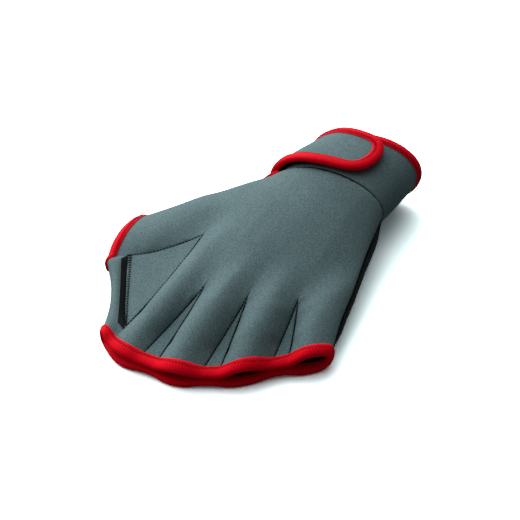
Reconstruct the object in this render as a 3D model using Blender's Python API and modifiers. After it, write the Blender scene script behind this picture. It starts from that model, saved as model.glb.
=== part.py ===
"""Webbed swim glove for a left hand, lying palm down with its fingers towards -Y.

A neoprene back panel and a black palm panel meet along the sides of the hand. Triangular webs are
let into the back between the fingers, a band with a wrap-over strap closes round the wrist, and red
tape binds each open edge. Lengths are in metres, +Z is up and the thumb is on the -X side.
"""

import math

import bmesh
import bpy
from mathutils import Matrix, Vector

# Cloth and tape
WALL = 0.0018
SEAM_GAP = 0.0003
WEB_GAP = 0.0004
TAPE = 0.0006
BINDING_WIDTH = 0.0062
STANDOFF = SEAM_GAP + TAPE

# Wristband, an ellipse seen from the arm
WRIST_WIDTH = 0.0748
WRIST_HEIGHT = 0.0456
CUFF_LENGTH = 0.0475
CUFF_BULGE = 0.0006
WRIST_SLANT = 0.0075
WRIST_CENTRE = 0.0012
WRIST_TAPER = 0.0095
SEAM_SLANT = 0.0030
CUFF_START_DEG = -155.0
CUFF_END_DEG = 160.0

# Hand, from the wristband's seam to the open finger ends
HAND_LENGTH = 0.170
GLOVE_SPAN = 0.168
KNUCKLE_HEIGHT = 0.0305
FINGER_HEIGHT = 0.0125
WEB_HEIGHT = 0.0088
PALM_RISE = 0.0012
PALM_INSET = 0.0005
PALM_BULGE = 0.0008
SEAM_LIP = 0.0022
WEB_SINK = 0.0020
TAPED_LENGTH = 0.0085

# Strap that wraps over the thumb side of the wrist
STRAP_WIDTH = 0.0395
STRAP_LIFT = 0.0048
STRAP_TIP_DEG = 63.5
STRAP_TIP_RADIUS = 0.0185
STRAP_EDGE_FROM_SEAM = 0.0022
STRAP_FLARE = 0.0028
STRAP_SWELL = 0.0014
PATCH_INSET = 0.0012
PATCH_START_DEG = 84.0
PATCH_END_DEG = 118.0

# Lines that run down the hand from the wristband to the knuckles. Angles are places on the wrist
# ellipse, x is a share of GLOVE_SPAN from the wrist's middle and y a share of HAND_LENGTH.
HAND_LINES = [
    # name, ring angle, mid x, mid y, knuckle x, knuckle y, knuckle share across
    ("thumb_side", 180.0, -0.315, 0.112, -0.423, 0.201, 0.00),
    ("thumb_index", 142.0, -0.205, 0.215, -0.268, 0.434, 0.23),
    ("index_middle", 112.0, -0.091, 0.315, -0.104, 0.648, 0.49),
    ("middle_ring", 80.0, 0.042, 0.315, 0.051, 0.616, 0.64),
    ("ring_pinky", 48.0, 0.173, 0.274, 0.202, 0.536, 0.80),
    ("pinky_side", 0.0, 0.272, 0.180, 0.322, 0.366, 1.00),
]

# Edges of the thumb and finger channels beyond the knuckles, in the same shares.
CHANNEL_EDGES = {
    # name: mid x, mid y, rim x, rim y
    "thumb_left": (-0.508, 0.291, -0.612, 0.386),
    "thumb_right": (-0.400, 0.534, -0.5535, 0.610),
    "index_left": (-0.250, 0.712, -0.274, 0.984),
    "index_right": (-0.145, 0.824, -0.182, 0.994),
    "middle_left": (-0.107, 0.826, -0.114, 0.999),
    "middle_right": (0.043, 0.788, 0.046, 0.960),
    "ring_left": (0.067, 0.772, 0.100, 0.929),
    "ring_right": (0.211, 0.660, 0.240, 0.796),
    "pinky_left": (0.234, 0.646, 0.283, 0.752),
    "pinky_right": (0.355, 0.512, 0.396, 0.640),
}

# Channels in order from the thumb. Crowns are shares of the height named in the column's head, and
# bulge is how far the open end bows out, as a share of HAND_LENGTH.
CHANNELS = [
    # name, crown at knuckle of KNUCKLE_HEIGHT, at mid of KNUCKLE_HEIGHT, at rim of FINGER_HEIGHT, bulge
    ("thumb", 0.93, 0.70, 1.02, 0.014),
    ("index", 0.99, 0.77, 0.88, 0.008),
    ("middle", 1.00, 0.80, 0.98, 0.016),
    ("ring", 0.99, 0.79, 1.05, 0.015),
    ("pinky", 0.93, 0.74, 1.20, 0.011),
]

# Webs let in between the channels. Levels are the web's top at the knuckle and mid as shares of
# KNUCKLE_HEIGHT, and at the rim as a share of WEB_HEIGHT.
WEBS = [
    # name, level at knuckle, at mid, at rim
    ("web_thumb_index", 0.80, 0.52, 1.15),
    ("web_index_middle", 0.78, 0.47, 1.00),
    ("web_middle_ring", 0.76, 0.47, 1.00),
    ("web_ring_pinky", 0.72, 0.47, 1.00),
]

# Heights at five stations from the wristband to the open ends, as shares of WRIST_HEIGHT.
STATIONS = [
    # thumb side seam, pinky side seam, crown of the back, corner exponent of the back
    (0.500, 0.500, 1.000, 2.0),
    (0.410, 0.410, 0.850, 2.2),
    (0.305, 0.330, 0.650, 2.6),
    (0.205, 0.265, 0.560, 2.6),
    (0.125, 0.175, 0.480, 2.6),
]

# Outer side of the strip between the thumb's and the fingers' openings, in shares as above.
WEB_EDGE_LINE = [
    # x, y
    (-0.533, 0.675),
    (-0.475, 0.719),
    (-0.426, 0.789),
    (-0.389, 0.860),
    (-0.360, 0.934),
]
WEB_EDGE_CROWN = 0.86
WEB_EDGE_VALLEY = 0.68
WEB_EDGE_ENDS = 1.0 / 6.0

# Slit at the thumb side of the wrist
SLIT_BINDING_WIDTH = 0.0036
SLIT_BINDING_THICKNESS = 0.0022
SLIT_ACROSS = 0.42
SLIT_START = 0.045
SLIT_END = 0.29
SLIT_SEGMENTS = 6

# Rows down the hand: 0 at the wristband, 1 at the knuckles, 2 where the binding starts, 3 at the rim.
BACK_HAND_ROWS = [0.0, 0.13, 0.27, 0.42, 0.57, 0.71, 0.83, 0.92, 1.0]
BACK_FINGER_ROWS = [1.08, 1.18, 1.3, 1.43, 1.57, 1.71, 1.85, 2.0]
PALM_HAND_ROWS = [0.0, 0.2, 0.4, 0.6, 0.8, 1.0]
PALM_FINGER_ROWS = [1.25, 1.5, 1.75, 2.0]
TAPED_DEPTHS = [0.0, 0.5 * BINDING_WIDTH, BINDING_WIDTH]
TAPED_ROWS = [3.0 - depth / TAPED_LENGTH for depth in reversed(TAPED_DEPTHS)]
WEB_START_ROWS = [1.08, 1.18, 1.18, 1.18]
BACK_SEGMENTS = 6
PALM_SEGMENTS = 5
WEB_EDGE_COLUMNS = [0.0, 0.42, 0.72, 1.0]
WEB_EDGE_TOP = 0.72
WEB_EDGE_SEGMENTS = 6
FLOOR = STANDOFF


def lerp(a, b, t):
    return a + (b - a) * t


def smooth(t):
    t = min(1.0, max(0.0, t))
    return t * t * (3.0 - 2.0 * t)


def through(values, t):
    """A smooth curve through values, t running from 0 at the first to 1 at the last."""
    spans = len(values) - 1
    place = min(spans - 1e-9, max(0.0, t * spans))
    i = int(place)
    f = place - i
    p1, p2 = values[i], values[i + 1]
    p0 = values[i - 1] if i else p1 * 2.0 - p2
    p3 = values[i + 2] if i + 2 <= spans else p2 * 2.0 - p1
    return 0.5 * (
        p1 * 2.0
        + (p2 - p0) * f
        + (p0 * 2.0 - p1 * 5.0 + p2 * 4.0 - p3) * f * f
        + (p1 * 3.0 - p0 - p2 * 3.0 + p3) * f * f * f
    )


def even_steps(count):
    return [i / count for i in range(count + 1)]


def cosine_steps(count):
    """Shares from 0 to 1, closer together at both ends, where a rounded wall turns down."""
    return [0.5 - 0.5 * math.cos(math.pi * i / count) for i in range(count + 1)]


def columns(channel, count):
    """A channel's columns. One beyond 0 or 1 is the lip that stands on a side seam."""
    steps = cosine_steps(count)
    if channel == 0:
        steps.insert(0, -0.02)
    if channel == len(CHANNELS) - 1:
        steps.append(1.02)
    return steps


def side_of(channel, t):
    """-1 on the glove's thumb side, 1 on its pinky side and 0 elsewhere, for a half of a channel."""
    if channel == 0 and t < 0.5:
        return -1
    return 1 if channel == len(CHANNELS) - 1 and t > 0.5 else 0


def ring_point(angle, lift, along):
    """A point on the wrist ellipse at this angle, lifted off it and along the arm from the seam."""
    turn = math.cos(angle)
    taper = WRIST_TAPER * smooth(along / CUFF_LENGTH) * (1.0 - turn) / 2
    across = WRIST_CENTRE + (WRIST_WIDTH / 2 + lift) * turn + taper
    height = FLOOR + WRIST_HEIGHT / 2 + (WRIST_HEIGHT / 2 + lift) * math.sin(angle)
    return Vector((across, along, height))


def plan(x_share, y_share):
    return Vector((x_share * GLOVE_SPAN, -y_share * HAND_LENGTH))


def channel_edge(channel, right, v):
    """Plan point of a channel's left or right edge, v from 0 at the wrist to 2 at the open end."""
    row = HAND_LINES[channel + (1 if right else 0)]
    edge = CHANNEL_EDGES[f"{CHANNELS[channel][0]}_{'right' if right else 'left'}"]
    knuckle = plan(row[4], row[5])
    if v <= 1.0:
        turn = math.cos(math.radians(row[1]))
        start = Vector((WRIST_CENTRE + WRIST_WIDTH / 2 * turn, SEAM_SLANT * turn))
        return through([start, plan(row[2], row[3]), knuckle], v)
    return through([knuckle, plan(edge[0], edge[1]), plan(edge[2], edge[3])], v - 1.0)


def edge_length(channel, right):
    return (channel_edge(channel, right, 2.0) - channel_edge(channel, right, 1.0)).length


def v_at(row, left_length, right_length, t):
    """Turns a row number into v, so that the rows under the binding lie level with its depths."""
    if row <= 1.0:
        return row
    taped = TAPED_LENGTH / lerp(left_length, right_length, min(1.0, max(0.0, t)))
    return lerp(1.0, 2.0 - taped, row - 1.0) if row <= 2.0 else lerp(2.0 - taped, 2.0, row - 2.0)


def channel_v(channel, t, row):
    return v_at(row, edge_length(channel, False), edge_length(channel, True), t)


def web_v(web, t, row):
    return v_at(row, edge_length(web, True), edge_length(web + 1, False), t)


def channel_plan(channel, t, v):
    t = min(1.0, max(0.0, t))
    left, right = channel_edge(channel, False, v), channel_edge(channel, True, v)
    back = channel_edge(channel, False, v - 0.02) - left + channel_edge(channel, True, v - 0.02) - right
    bow = CHANNELS[channel][4] * HAND_LENGTH * smooth(v - 1.0) * (1.0 - (2.0 * t - 1.0) ** 2)
    return left.lerp(right, t) - back.normalized() * bow


def web_plan(web, t, v):
    return channel_edge(web, True, v).lerp(channel_edge(web + 1, False, v), t)


def side_height(v, across):
    thumb, pinky = (through([row[i] for row in STATIONS], v / 2.0) for i in (0, 1))
    return FLOOR + WRIST_HEIGHT * lerp(thumb, pinky, across)


def levels_along(knuckle, mid, rim, v):
    """A height at v, through its values at the knuckle, mid and rim, and straight before them."""
    return through([knuckle, mid, rim], v - 1.0) if v > 1.0 else knuckle + (1.0 - v) * (knuckle - mid)


def web_level(web, v):
    _, knuckle, mid, rim = WEBS[web]
    return levels_along(knuckle * KNUCKLE_HEIGHT, mid * KNUCKLE_HEIGHT, rim * WEB_HEIGHT, v)


def crown(channel, v):
    _, knuckle, mid, rim, _ = CHANNELS[channel]
    return levels_along(knuckle * KNUCKLE_HEIGHT, mid * KNUCKLE_HEIGHT, rim * FINGER_HEIGHT, v)


def sink(v):
    """How far a channel's edge lies below the web's top, for the web to butt against its wall."""
    return WEB_SINK * smooth((v - 1.1) / 0.25) * (1.0 - smooth((v - 1.62) / 0.16))


def arch_power(v):
    """Shape of a channel's flanks: a soft swell before the knuckles, then steep, then a soft wave."""
    steep = lerp(2.0, 0.66, smooth((v - 0.95) / 0.3))
    return lerp(steep, 1.3, smooth((v - 1.58) / 0.22))


def across_share(channel, t, v):
    """Place across the whole hand, from 0 at the thumb side to 1 at the pinky side."""
    shares = [
        lerp((1.0 + math.cos(math.radians(row[1]))) / 2.0, row[6], min(1.0, v))
        for row in HAND_LINES[channel : channel + 2]
    ]
    return lerp(shares[0], shares[1], min(1.0, max(0.0, t)))


def dome_height(channel, t, v):
    across = across_share(channel, t, v)
    low = side_height(v, across) + SEAM_LIP
    top = FLOOR + WRIST_HEIGHT * through([row[2] for row in STATIONS], v / 2.0)
    power = through([row[3] for row in STATIONS], v / 2.0)
    return low + (top - low) * (1.0 - abs(2.0 * across - 1.0) ** power) ** (1.0 / power)


def arch_height(channel, t, v):
    """Height over a channel between its edges, which stand on a side seam or just below a web."""
    side = side_of(channel, t)
    if side:
        low, power = side_height(v, (1 + side) / 2) + SEAM_LIP, 0.5
    else:
        low, power = web_level(channel if t > 0.5 else channel - 1, v) - sink(v), arch_power(v)
    return low + (crown(channel, v) - low) * max(0.0, 1.0 - (2.0 * t - 1.0) ** 2) ** power


def back_height(channel, t, v):
    if not 0.0 <= t <= 1.0:
        return side_height(v, 0.0 if t < 0.5 else 1.0) + SEAM_GAP / 2
    share = smooth((v - 0.6) / 0.6)
    return lerp(dome_height(channel, t, v), arch_height(channel, t, v), share)


def back_point(channel, t, row):
    """Outer face of the back panel over one channel."""
    v = channel_v(channel, t, row)
    return Vector((*channel_plan(channel, t, v), back_height(channel, t, v)))


def web_point(web, t, row):
    """Top of a web, level with the back panel beside it but for its sunk edge."""
    v = web_v(web, t, row)
    return Vector((*web_plan(web, t, v), back_height(web, 1.0, v) + sink(v)))


def palm_floor(v):
    """Underside of the palm, a little arched between the wrist and the fingers."""
    return FLOOR + PALM_RISE * math.sin(math.pi * min(1.0, v / 1.6))


def palm_point(channel, t, row):
    """Outer face of the palm panel under one channel."""
    v = channel_v(channel, t, row)
    side = side_of(channel, t)
    point = channel_plan(channel, t, v)
    inset = PALM_INSET * smooth(v / 0.3) * (1.0 - smooth((v - 1.5) / 0.3))
    if side:
        middle = channel_plan(channel, 0.5, v)
        inset = inset if side < 0 else -PALM_BULGE * inset / PALM_INSET
        point += (middle - point).normalized() * inset * min(1.0, abs(2.0 * t - 1.0))
    if not 0.0 <= t <= 1.0:
        return Vector((*point, side_height(v, (1 + side) / 2) - SEAM_GAP / 2))
    height = palm_floor(v) + PALM_RISE * smooth((v - 1.2) / 0.6) * abs(2.0 * t - 1.0) ** 3
    if side:
        low = side_height(v, (1 + side) / 2) - SEAM_LIP
        height = lerp(low, palm_floor(v), (1.0 - abs(2.0 * t - 1.0) ** 2.6) ** (1.0 / 2.6))
    across = across_share(channel, t, v)
    drop = math.sqrt(max(0.0, 1.0 - (2.0 * across - 1.0) ** 2))
    ring = lerp(side_height(v, across) - SEAM_LIP, FLOOR, drop)
    return Vector((*point, lerp(ring, height, smooth(v / 0.5))))


def palm_web_point(web, t, row):
    v = web_v(web, t, row)
    return Vector((*web_plan(web, t, v), palm_floor(v) + PALM_RISE * smooth((v - 1.2) / 0.6)))


def strip_inner(share):
    """Channel, side and row of the strip's inner line, at its taped ends, or None between them."""
    if share <= WEB_EDGE_ENDS:
        return 0, True, 3.0 - share / WEB_EDGE_ENDS
    if share >= 1.0 - WEB_EDGE_ENDS:
        return 1, False, 3.0 - (1.0 - share) / WEB_EDGE_ENDS
    return None


def web_edge_plan(t, share):
    """The strip round the thumb web: down the thumb's edge, along the web's end, down the index."""
    taped = strip_inner(share)
    if taped:
        channel, right, row = taped
        inner = channel_edge(channel, right, channel_v(channel, 1.0 if right else 0.0, row))
    else:
        across = (share - WEB_EDGE_ENDS) / (1.0 - 2.0 * WEB_EDGE_ENDS)
        inner = web_plan(0, across, web_v(0, across, 2.0))
    outer = through([plan(x, y) for x, y in WEB_EDGE_LINE], share)
    return outer.lerp(inner, t)


def web_edge_point(t, share):
    """Outer face of the back panel's strip round the thumb web, t from the side seam inwards."""
    taped = strip_inner(share)
    point = web_edge_plan(max(0.0, t), share)
    low = side_height(2.0, 0.0)
    if t < 0.0:
        return Vector((*point, low + SEAM_GAP / 2))
    start, end = back_point(0, 1.0, 2.0).z, back_point(1, 0.0, 2.0).z
    if taped:
        channel, right, row = taped
        inner = back_point(channel, 1.0 if right else 0.0, row).z
    else:
        inner = lerp(start, end, (share - WEB_EDGE_ENDS) / (1.0 - 2.0 * WEB_EDGE_ENDS))
        near = min(share, 1.0 - share) - WEB_EDGE_ENDS
        inner = lerp(inner, FINGER_HEIGHT * WEB_EDGE_VALLEY, smooth(near / 0.15))
    top = max(FINGER_HEIGHT * WEB_EDGE_CROWN, inner)
    if t > WEB_EDGE_TOP:
        share = smooth((t - WEB_EDGE_TOP) / (1.0 - WEB_EDGE_TOP))
        return Vector((*point, lerp(top, inner, share)))
    turn = math.sqrt(1.0 - (1.0 - t / WEB_EDGE_TOP) ** 2)
    return Vector((*point, lerp(low + SEAM_LIP, top, turn)))


def palm_edge_point(t, share):
    point = web_edge_plan(max(0.0, t), share)
    low = side_height(2.0, 0.0)
    if t < 0.0:
        return Vector((*point, low - SEAM_GAP / 2))
    flat = palm_floor(2.0) + PALM_RISE * smooth(t)
    return Vector((*point, lerp(low - SEAM_LIP, flat, (1.0 - (1.0 - t) ** 2.6) ** (1.0 / 2.6))))


def strip_shares(middle):
    """Rows of the strip round the thumb web, which meet the rows of the channels beside it."""
    ends = [(3.0 - row) * WEB_EDGE_ENDS for row in reversed(TAPED_ROWS)] + [WEB_EDGE_ENDS]
    inner = [lerp(WEB_EDGE_ENDS, 1.0 - WEB_EDGE_ENDS, i / middle) for i in range(1, middle)]
    return ends + inner + [1.0 - share for share in reversed(ends)]


def cuff_point(angle, row):
    """Outer face of the cuff, its rows running from 0 at the seam to 3 at the wrist's edge."""
    start = SEAM_SLANT * math.cos(angle) + SEAM_GAP
    end = CUFF_LENGTH + WRIST_SLANT * math.cos(angle)
    taped = end - TAPED_LENGTH
    along = lerp(start, taped, row / 2.0) if row <= 2.0 else lerp(taped, end, row - 2.0)
    bulge = CUFF_BULGE * math.sin(math.pi * (along - start) / (end - start))
    return ring_point(angle, bulge, along)


def cuff_angles():
    """From the thumb side's back end over the top, round the pinky side and under the palm."""
    count = 30
    return [math.radians(lerp(CUFF_END_DEG, CUFF_START_DEG, i / count)) for i in range(count + 1)]


def strap_root():
    return math.radians(360.0 + CUFF_START_DEG) - SEAM_GAP / (WRIST_HEIGHT / 2)


def strap_point(angle, along, drop=0.0):
    """Outer face of the strap, or drop inside it. It comes down to the cuff at its root."""
    start = math.radians(CUFF_END_DEG + 10.0)
    swell = STRAP_SWELL * smooth((math.degrees(angle) - 85.0) / 35.0)
    lift = (STRAP_LIFT + swell) * (1.0 - smooth((angle - start) / (strap_root() - start)))
    return ring_point(angle, lift - drop, along)


def arc_from_tip(angle):
    """Length round the wrist from the strap's tip to an angle, close enough for its outline."""
    steps = 16
    tip = math.radians(STRAP_TIP_DEG)
    width, height = WRIST_WIDTH / 2 + STRAP_LIFT, WRIST_HEIGHT / 2 + STRAP_LIFT
    total = 0.0
    for i in range(steps):
        middle = lerp(tip, angle, (i + 0.5) / steps)
        total += math.hypot(width * math.sin(middle), height * math.cos(middle)) / steps
    return total * (angle - tip)


def strap_edges(angle):
    """The strap's lower and upper edges along the arm at an angle."""
    s = arc_from_tip(angle)
    middle = STRAP_EDGE_FROM_SEAM + STRAP_WIDTH / 2
    tip = max(0.0, 1.0 - s / STRAP_TIP_RADIUS)
    half = STRAP_WIDTH / 2 * (1.0 - tip**2.3) ** (1.0 / 2.3)
    flare = STRAP_FLARE * smooth((math.degrees(angle) - 82.0) / 28.0)
    return middle - half - flare, middle + half


def strap_angles():
    """Columns of the strap, from near its tip to its root and closer together round the tip."""
    tip, body = STRAP_TIP_DEG, STRAP_TIP_DEG + 26.0
    near = [lerp(tip, body, share) for share in (0.012, 0.05, 0.12, 0.24, 0.40, 0.60, 0.80, 1.0)]
    rest = [lerp(body, math.degrees(strap_root()), i / 13) for i in range(1, 14)]
    return [math.radians(angle) for angle in near + rest]


def strap_outline():
    """Round the strap's edge from its root along the hand side, round the tip and back."""
    angles = strap_angles()
    low = [(angle, strap_edges(angle)[0]) for angle in reversed(angles)]
    high = [(angle, strap_edges(angle)[1]) for angle in angles]
    return low + high


def strap_taped(outline, i, depth):
    """The point this far inside the strap's outline, measured square to it."""
    before, after = outline[max(0, i - 1)], outline[min(len(outline) - 1, i + 1)]
    angle, along = outline[i]
    spread = arc_from_tip(angle + 0.01) - arc_from_tip(angle)
    step = Vector((-(after[0] - before[0]) * spread / 0.01, after[1] - before[1])).normalized()
    if i in (0, len(outline) - 1):
        step = Vector((1.0 if i == 0 else -1.0, 0.0))
    return angle + step.y * depth * 0.01 / spread, along + step.x * depth


def add_grid(mesh, across_values, down_values, place, reverse=False):
    """A grid of faces whose points come from place(column value, row value)."""
    across, down = len(across_values) - 1, len(down_values) - 1
    made = bmesh.ops.create_grid(mesh, x_segments=across, y_segments=down, size=1.0)["verts"]
    for vert in made:
        i = round((vert.co.x + 1.0) / 2.0 * across)
        j = down - round((vert.co.y + 1.0) / 2.0 * down)
        vert.co = place(across_values[i], down_values[j])
    if reverse:
        faces = {face for vert in made for face in vert.link_faces}
        bmesh.ops.reverse_faces(mesh, faces=list(faces))


def material(name, colour, roughness):
    made = bpy.data.materials.new(name)
    made.use_nodes = True
    shader = made.node_tree.nodes["Principled BSDF"]
    shader.inputs["Base Color"].default_value = (*colour, 1.0)
    shader.inputs["Roughness"].default_value = roughness
    shader.inputs["Metallic"].default_value = 0.0
    return made


def add_object(name, mesh, finish, wall, outwards=False):
    """Puts a mesh in the scene as a named object. An open sheet gets a wall to one side of it."""
    bmesh.ops.remove_doubles(mesh, verts=mesh.verts, dist=1e-6)
    data = bpy.data.meshes.new(name)
    mesh.to_mesh(data)
    mesh.free()
    data.materials.append(finish)
    data.shade_smooth()
    data.set_sharp_from_angle(angle=math.radians(40))
    made = bpy.data.objects.new(name, data)
    GLOVE.objects.link(made)
    if wall:
        solid = made.modifiers.new("wall", "SOLIDIFY")
        solid.thickness = wall
        solid.offset = 1.0 if outwards else -1.0
        solid.use_even_offset = True
    return made


def build_back_panel():
    mesh = bmesh.new()
    rows = BACK_HAND_ROWS + BACK_FINGER_ROWS + TAPED_ROWS
    for channel in range(len(CHANNELS)):
        add_grid(
            mesh,
            columns(channel, BACK_SEGMENTS),
            rows,
            lambda t, row, channel=channel: back_point(channel, t, row),
        )
    add_grid(mesh, [-0.02, *WEB_EDGE_COLUMNS], strip_shares(WEB_EDGE_SEGMENTS), web_edge_point)
    return add_object("back_panel", mesh, GREY, WALL)


def build_palm_panel():
    mesh = bmesh.new()
    rows = PALM_HAND_ROWS + PALM_FINGER_ROWS + TAPED_ROWS
    for channel in range(len(CHANNELS)):
        add_grid(
            mesh,
            columns(channel, PALM_SEGMENTS),
            rows,
            lambda t, row, channel=channel: palm_point(channel, t, row),
            reverse=True,
        )
    for web in range(len(WEBS)):
        add_grid(
            mesh,
            even_steps(2 if web else 4),
            [row for row in rows if 1.0 <= row <= (3.0 if web else 2.0)],
            lambda t, row, web=web: palm_web_point(web, t, row),
            reverse=True,
        )
    add_grid(mesh, [-0.02, *WEB_EDGE_COLUMNS], strip_shares(4), palm_edge_point, reverse=True)
    return add_object("palm_panel", mesh, BLACK, WALL)


def web_gap(web, near, v):
    """Share of a web's width that leaves a seam's gap, square to the edge beside it."""
    across = web_plan(web, 1.0, v) - web_plan(web, 0.0, v)
    channel = web if near else web + 1
    down = channel_edge(channel, near, v + 0.02) - channel_edge(channel, near, v - 0.02)
    turn = abs(across.normalized().cross(down.normalized()))
    return WEB_GAP / (turn * across.length)


def build_web(web):
    """A triangle let in between two channels, cut back by a seam's gap all round."""
    mesh = bmesh.new()
    rows = [row for row in BACK_FINGER_ROWS if row >= WEB_START_ROWS[web]]
    rows += TAPED_ROWS if web else []

    def place(t, row):
        v = web_v(web, t, row)
        near, far = web_gap(web, True, v), 1.0 - web_gap(web, False, v)
        point = web_point(web, lerp(near, far, t), row)
        if web == 0 and row == rows[-1]:
            point += (web_point(web, t, 1.9) - point).normalized() * SEAM_GAP
        return point

    add_grid(mesh, even_steps(2 if web else 6), rows, place)
    return add_object(WEBS[web][0], mesh, GREY_LIGHT, WALL)


def build_cuff():
    mesh = bmesh.new()
    rows = [3.0, *reversed(TAPED_ROWS[:-1]), 1.5, 1.0, 0.5, 0.0]
    add_grid(mesh, cuff_angles(), rows, cuff_point)
    return add_object("cuff", mesh, GREY, WALL)


def build_strap():
    mesh = bmesh.new()

    def place(angle, share):
        low, high = strap_edges(angle)
        return strap_point(angle, lerp(high, low, share))

    add_grid(mesh, list(reversed(strap_angles())), [0.0, 0.09, 0.2, 0.5, 0.8, 0.91, 1.0], place)
    return add_object("strap", mesh, GREY, WALL)


def build_hook_patch():
    """The hidden hook-and-loop patch that holds the strap's tab down on the cuff."""
    mesh = bmesh.new()
    inset = BINDING_WIDTH + PATCH_INSET
    low, high = STRAP_EDGE_FROM_SEAM + inset, STRAP_EDGE_FROM_SEAM + STRAP_WIDTH - inset
    angles = [math.radians(lerp(PATCH_END_DEG, PATCH_START_DEG, i / 6)) for i in range(7)]
    lift = STRAP_LIFT - WALL - SEAM_GAP

    def place(angle, share):
        return ring_point(angle, lift, lerp(high, low, share))

    add_grid(mesh, angles, even_steps(3), place)
    return add_object("hook_patch", mesh, BLACK, lift - SEAM_GAP - CUFF_BULGE)


def even_offsets(grid, closed):
    """Outward vectors at a grid's points that move its faces off evenly by one unit."""
    count, depth = len(grid), len(grid[0])
    sums = [[[] for _ in range(depth)] for _ in range(count)]
    for i in range(count if closed else count - 1):
        j = (i + 1) % count
        for k in range(depth - 1):
            ring = [(i, k), (i, k + 1), (j, k + 1), (j, k)]
            near, inner, far, outer = (grid[a][b] for a, b in ring)
            normal = (far - near).cross(inner - outer).normalized()
            for m in range(4):
                here = grid[ring[m][0]][ring[m][1]]
                before, after = (grid[a][b] for a, b in (ring[m - 1], ring[(m + 1) % 4]))
                sums[ring[m][0]][ring[m][1]].append((normal, (before - here).angle(after - here)))
    offsets = []
    for line in sums:
        offsets.append([])
        for sides in line:
            mean = sum((normal * angle for normal, angle in sides), Vector()).normalized()
            total = sum(angle for _, angle in sides)
            offsets[-1].append(mean * sum(angle / mean.dot(normal) for normal, angle in sides) / total)
    return offsets


def folded(points, offsets, lift):
    """The U of a fold round the panel's edge, this far off its faces, from one end to the other."""
    past = (points[0] - points[1]).normalized() * lift
    bulge = (points[0] - points[1]).normalized() * (lift + SEAM_GAP)
    legs = range(1, len(TAPED_DEPTHS))
    top = [points[k] + offsets[k] * lift for k in reversed(legs)]
    bottom = [points[k] - offsets[k] * (WALL + lift) for k in legs]
    rim = [
        points[0] + past + offsets[0] * lift,
        points[0] + bulge - offsets[0] * WALL / 2,
        points[0] + past - offsets[0] * (WALL + lift),
    ]
    return top + rim + bottom


def build_binding(name, grid, closed):
    """Tape folded over an edge. Grid lines run inwards from the edge over the panel's outer face,
    to one point beyond the tape. A closed loop is lofted, and an open length gets its wall."""
    offsets = even_offsets(grid, closed)
    count = len(grid)
    rings = [folded(grid[i], offsets[i], SEAM_GAP) for i in range(count)]
    if closed:
        outer = [folded(grid[i], offsets[i], STANDOFF) for i in range(count)]
        rings = [ring + list(reversed(wide)) for ring, wide in zip(rings, outer)]
    size = len(rings[0])
    mesh = bmesh.new()
    turn = 1 if closed else 0
    add_grid(
        mesh,
        list(range(size + turn)),
        list(range(count + turn)),
        lambda k, i: rings[i % count][k % size],
    )
    return add_object(name, mesh, RED, 0.0 if closed else TAPE)


def taped_line(place):
    return [place(row) for row in reversed([2.0, *TAPED_ROWS])]


def channel_lines(surface, channel, steps):
    return [taped_line(lambda row, t=t: surface(channel, t, row)) for t in steps]


def strip_lines(surface, steps, at_index):
    """Lines inwards from one end of the strip round the thumb web."""
    lines = []
    for t in steps:
        shares = [(3.0 - row) * WEB_EDGE_ENDS for row in reversed([2.0, *TAPED_ROWS])]
        lines.append([surface(t, 1.0 - share if at_index else share) for share in shares])
    return lines


def build_finger_binding():
    """One closed loop of tape: over the four fingers and their webs, and back under them."""
    top, bottom = [], []
    for surface, web_surface, found, count in (
        (back_point, web_point, top, BACK_SEGMENTS),
        (palm_point, palm_web_point, bottom, PALM_SEGMENTS),
    ):
        for channel in range(1, len(CHANNELS)):
            found += channel_lines(surface, channel, cosine_steps(count))
            if channel < len(WEBS):
                found += channel_lines(web_surface, channel, [0.5])
    strip_top = strip_lines(web_edge_point, WEB_EDGE_COLUMNS[:-1], True)
    strip_bottom = strip_lines(palm_edge_point, WEB_EDGE_COLUMNS[:-1], True)
    grid = [*strip_top, *top, *reversed(bottom), *reversed(strip_bottom)]
    return build_binding("finger_binding", grid, True)


def build_thumb_binding():
    """One closed loop of tape round the thumb's opening, ending in the strip round its web."""
    top = channel_lines(back_point, 0, cosine_steps(BACK_SEGMENTS))
    bottom = channel_lines(palm_point, 0, cosine_steps(PALM_SEGMENTS))
    strip_top = strip_lines(web_edge_point, WEB_EDGE_COLUMNS[:-1], False)
    strip_bottom = strip_lines(palm_edge_point, WEB_EDGE_COLUMNS[:-1], False)
    grid = [*top, *reversed(strip_top), *strip_bottom, *reversed(bottom)]
    return build_binding("thumb_binding", grid, True)


def build_wrist_binding():
    grid = [taped_line(lambda row, angle=angle: cuff_point(angle, row)) for angle in reversed(cuff_angles())]
    return build_binding("wrist_binding", grid, False)


def build_strap_binding():
    outline = strap_outline()
    grid = []
    for i in range(len(outline)):
        places = [strap_taped(outline, i, depth) for depth in (*TAPED_DEPTHS, TAPED_LENGTH)]
        grid.append([strap_point(angle, along) for angle, along in places])
    return build_binding("strap_binding", grid, False)


def build_slit_binding():
    """A short length of tape over the thumb side, where the slit runs out under the strap."""
    lines = []
    for i in range(SLIT_SEGMENTS + 1):
        v = lerp(SLIT_START, SLIT_END, i / SLIT_SEGMENTS)
        point = back_point(0, SLIT_ACROSS, v)
        along = back_point(0, SLIT_ACROSS, v + 0.01) - back_point(0, SLIT_ACROSS, v - 0.01)
        across = back_point(0, SLIT_ACROSS + 0.03, v) - back_point(0, SLIT_ACROSS - 0.03, v)
        out = across.cross(-along).normalized()
        half = out.cross(along).normalized() * SLIT_BINDING_WIDTH / 2
        lines.append([point + out * 2.0 * SEAM_GAP + half * share for share in (-1.0, 0.0, 1.0)])
    mesh = bmesh.new()
    add_grid(mesh, [0, 1, 2], list(range(SLIT_SEGMENTS + 1)), lambda k, i: lines[i][k])
    return add_object("slit_binding", mesh, RED, SLIT_BINDING_THICKNESS, outwards=True)


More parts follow.
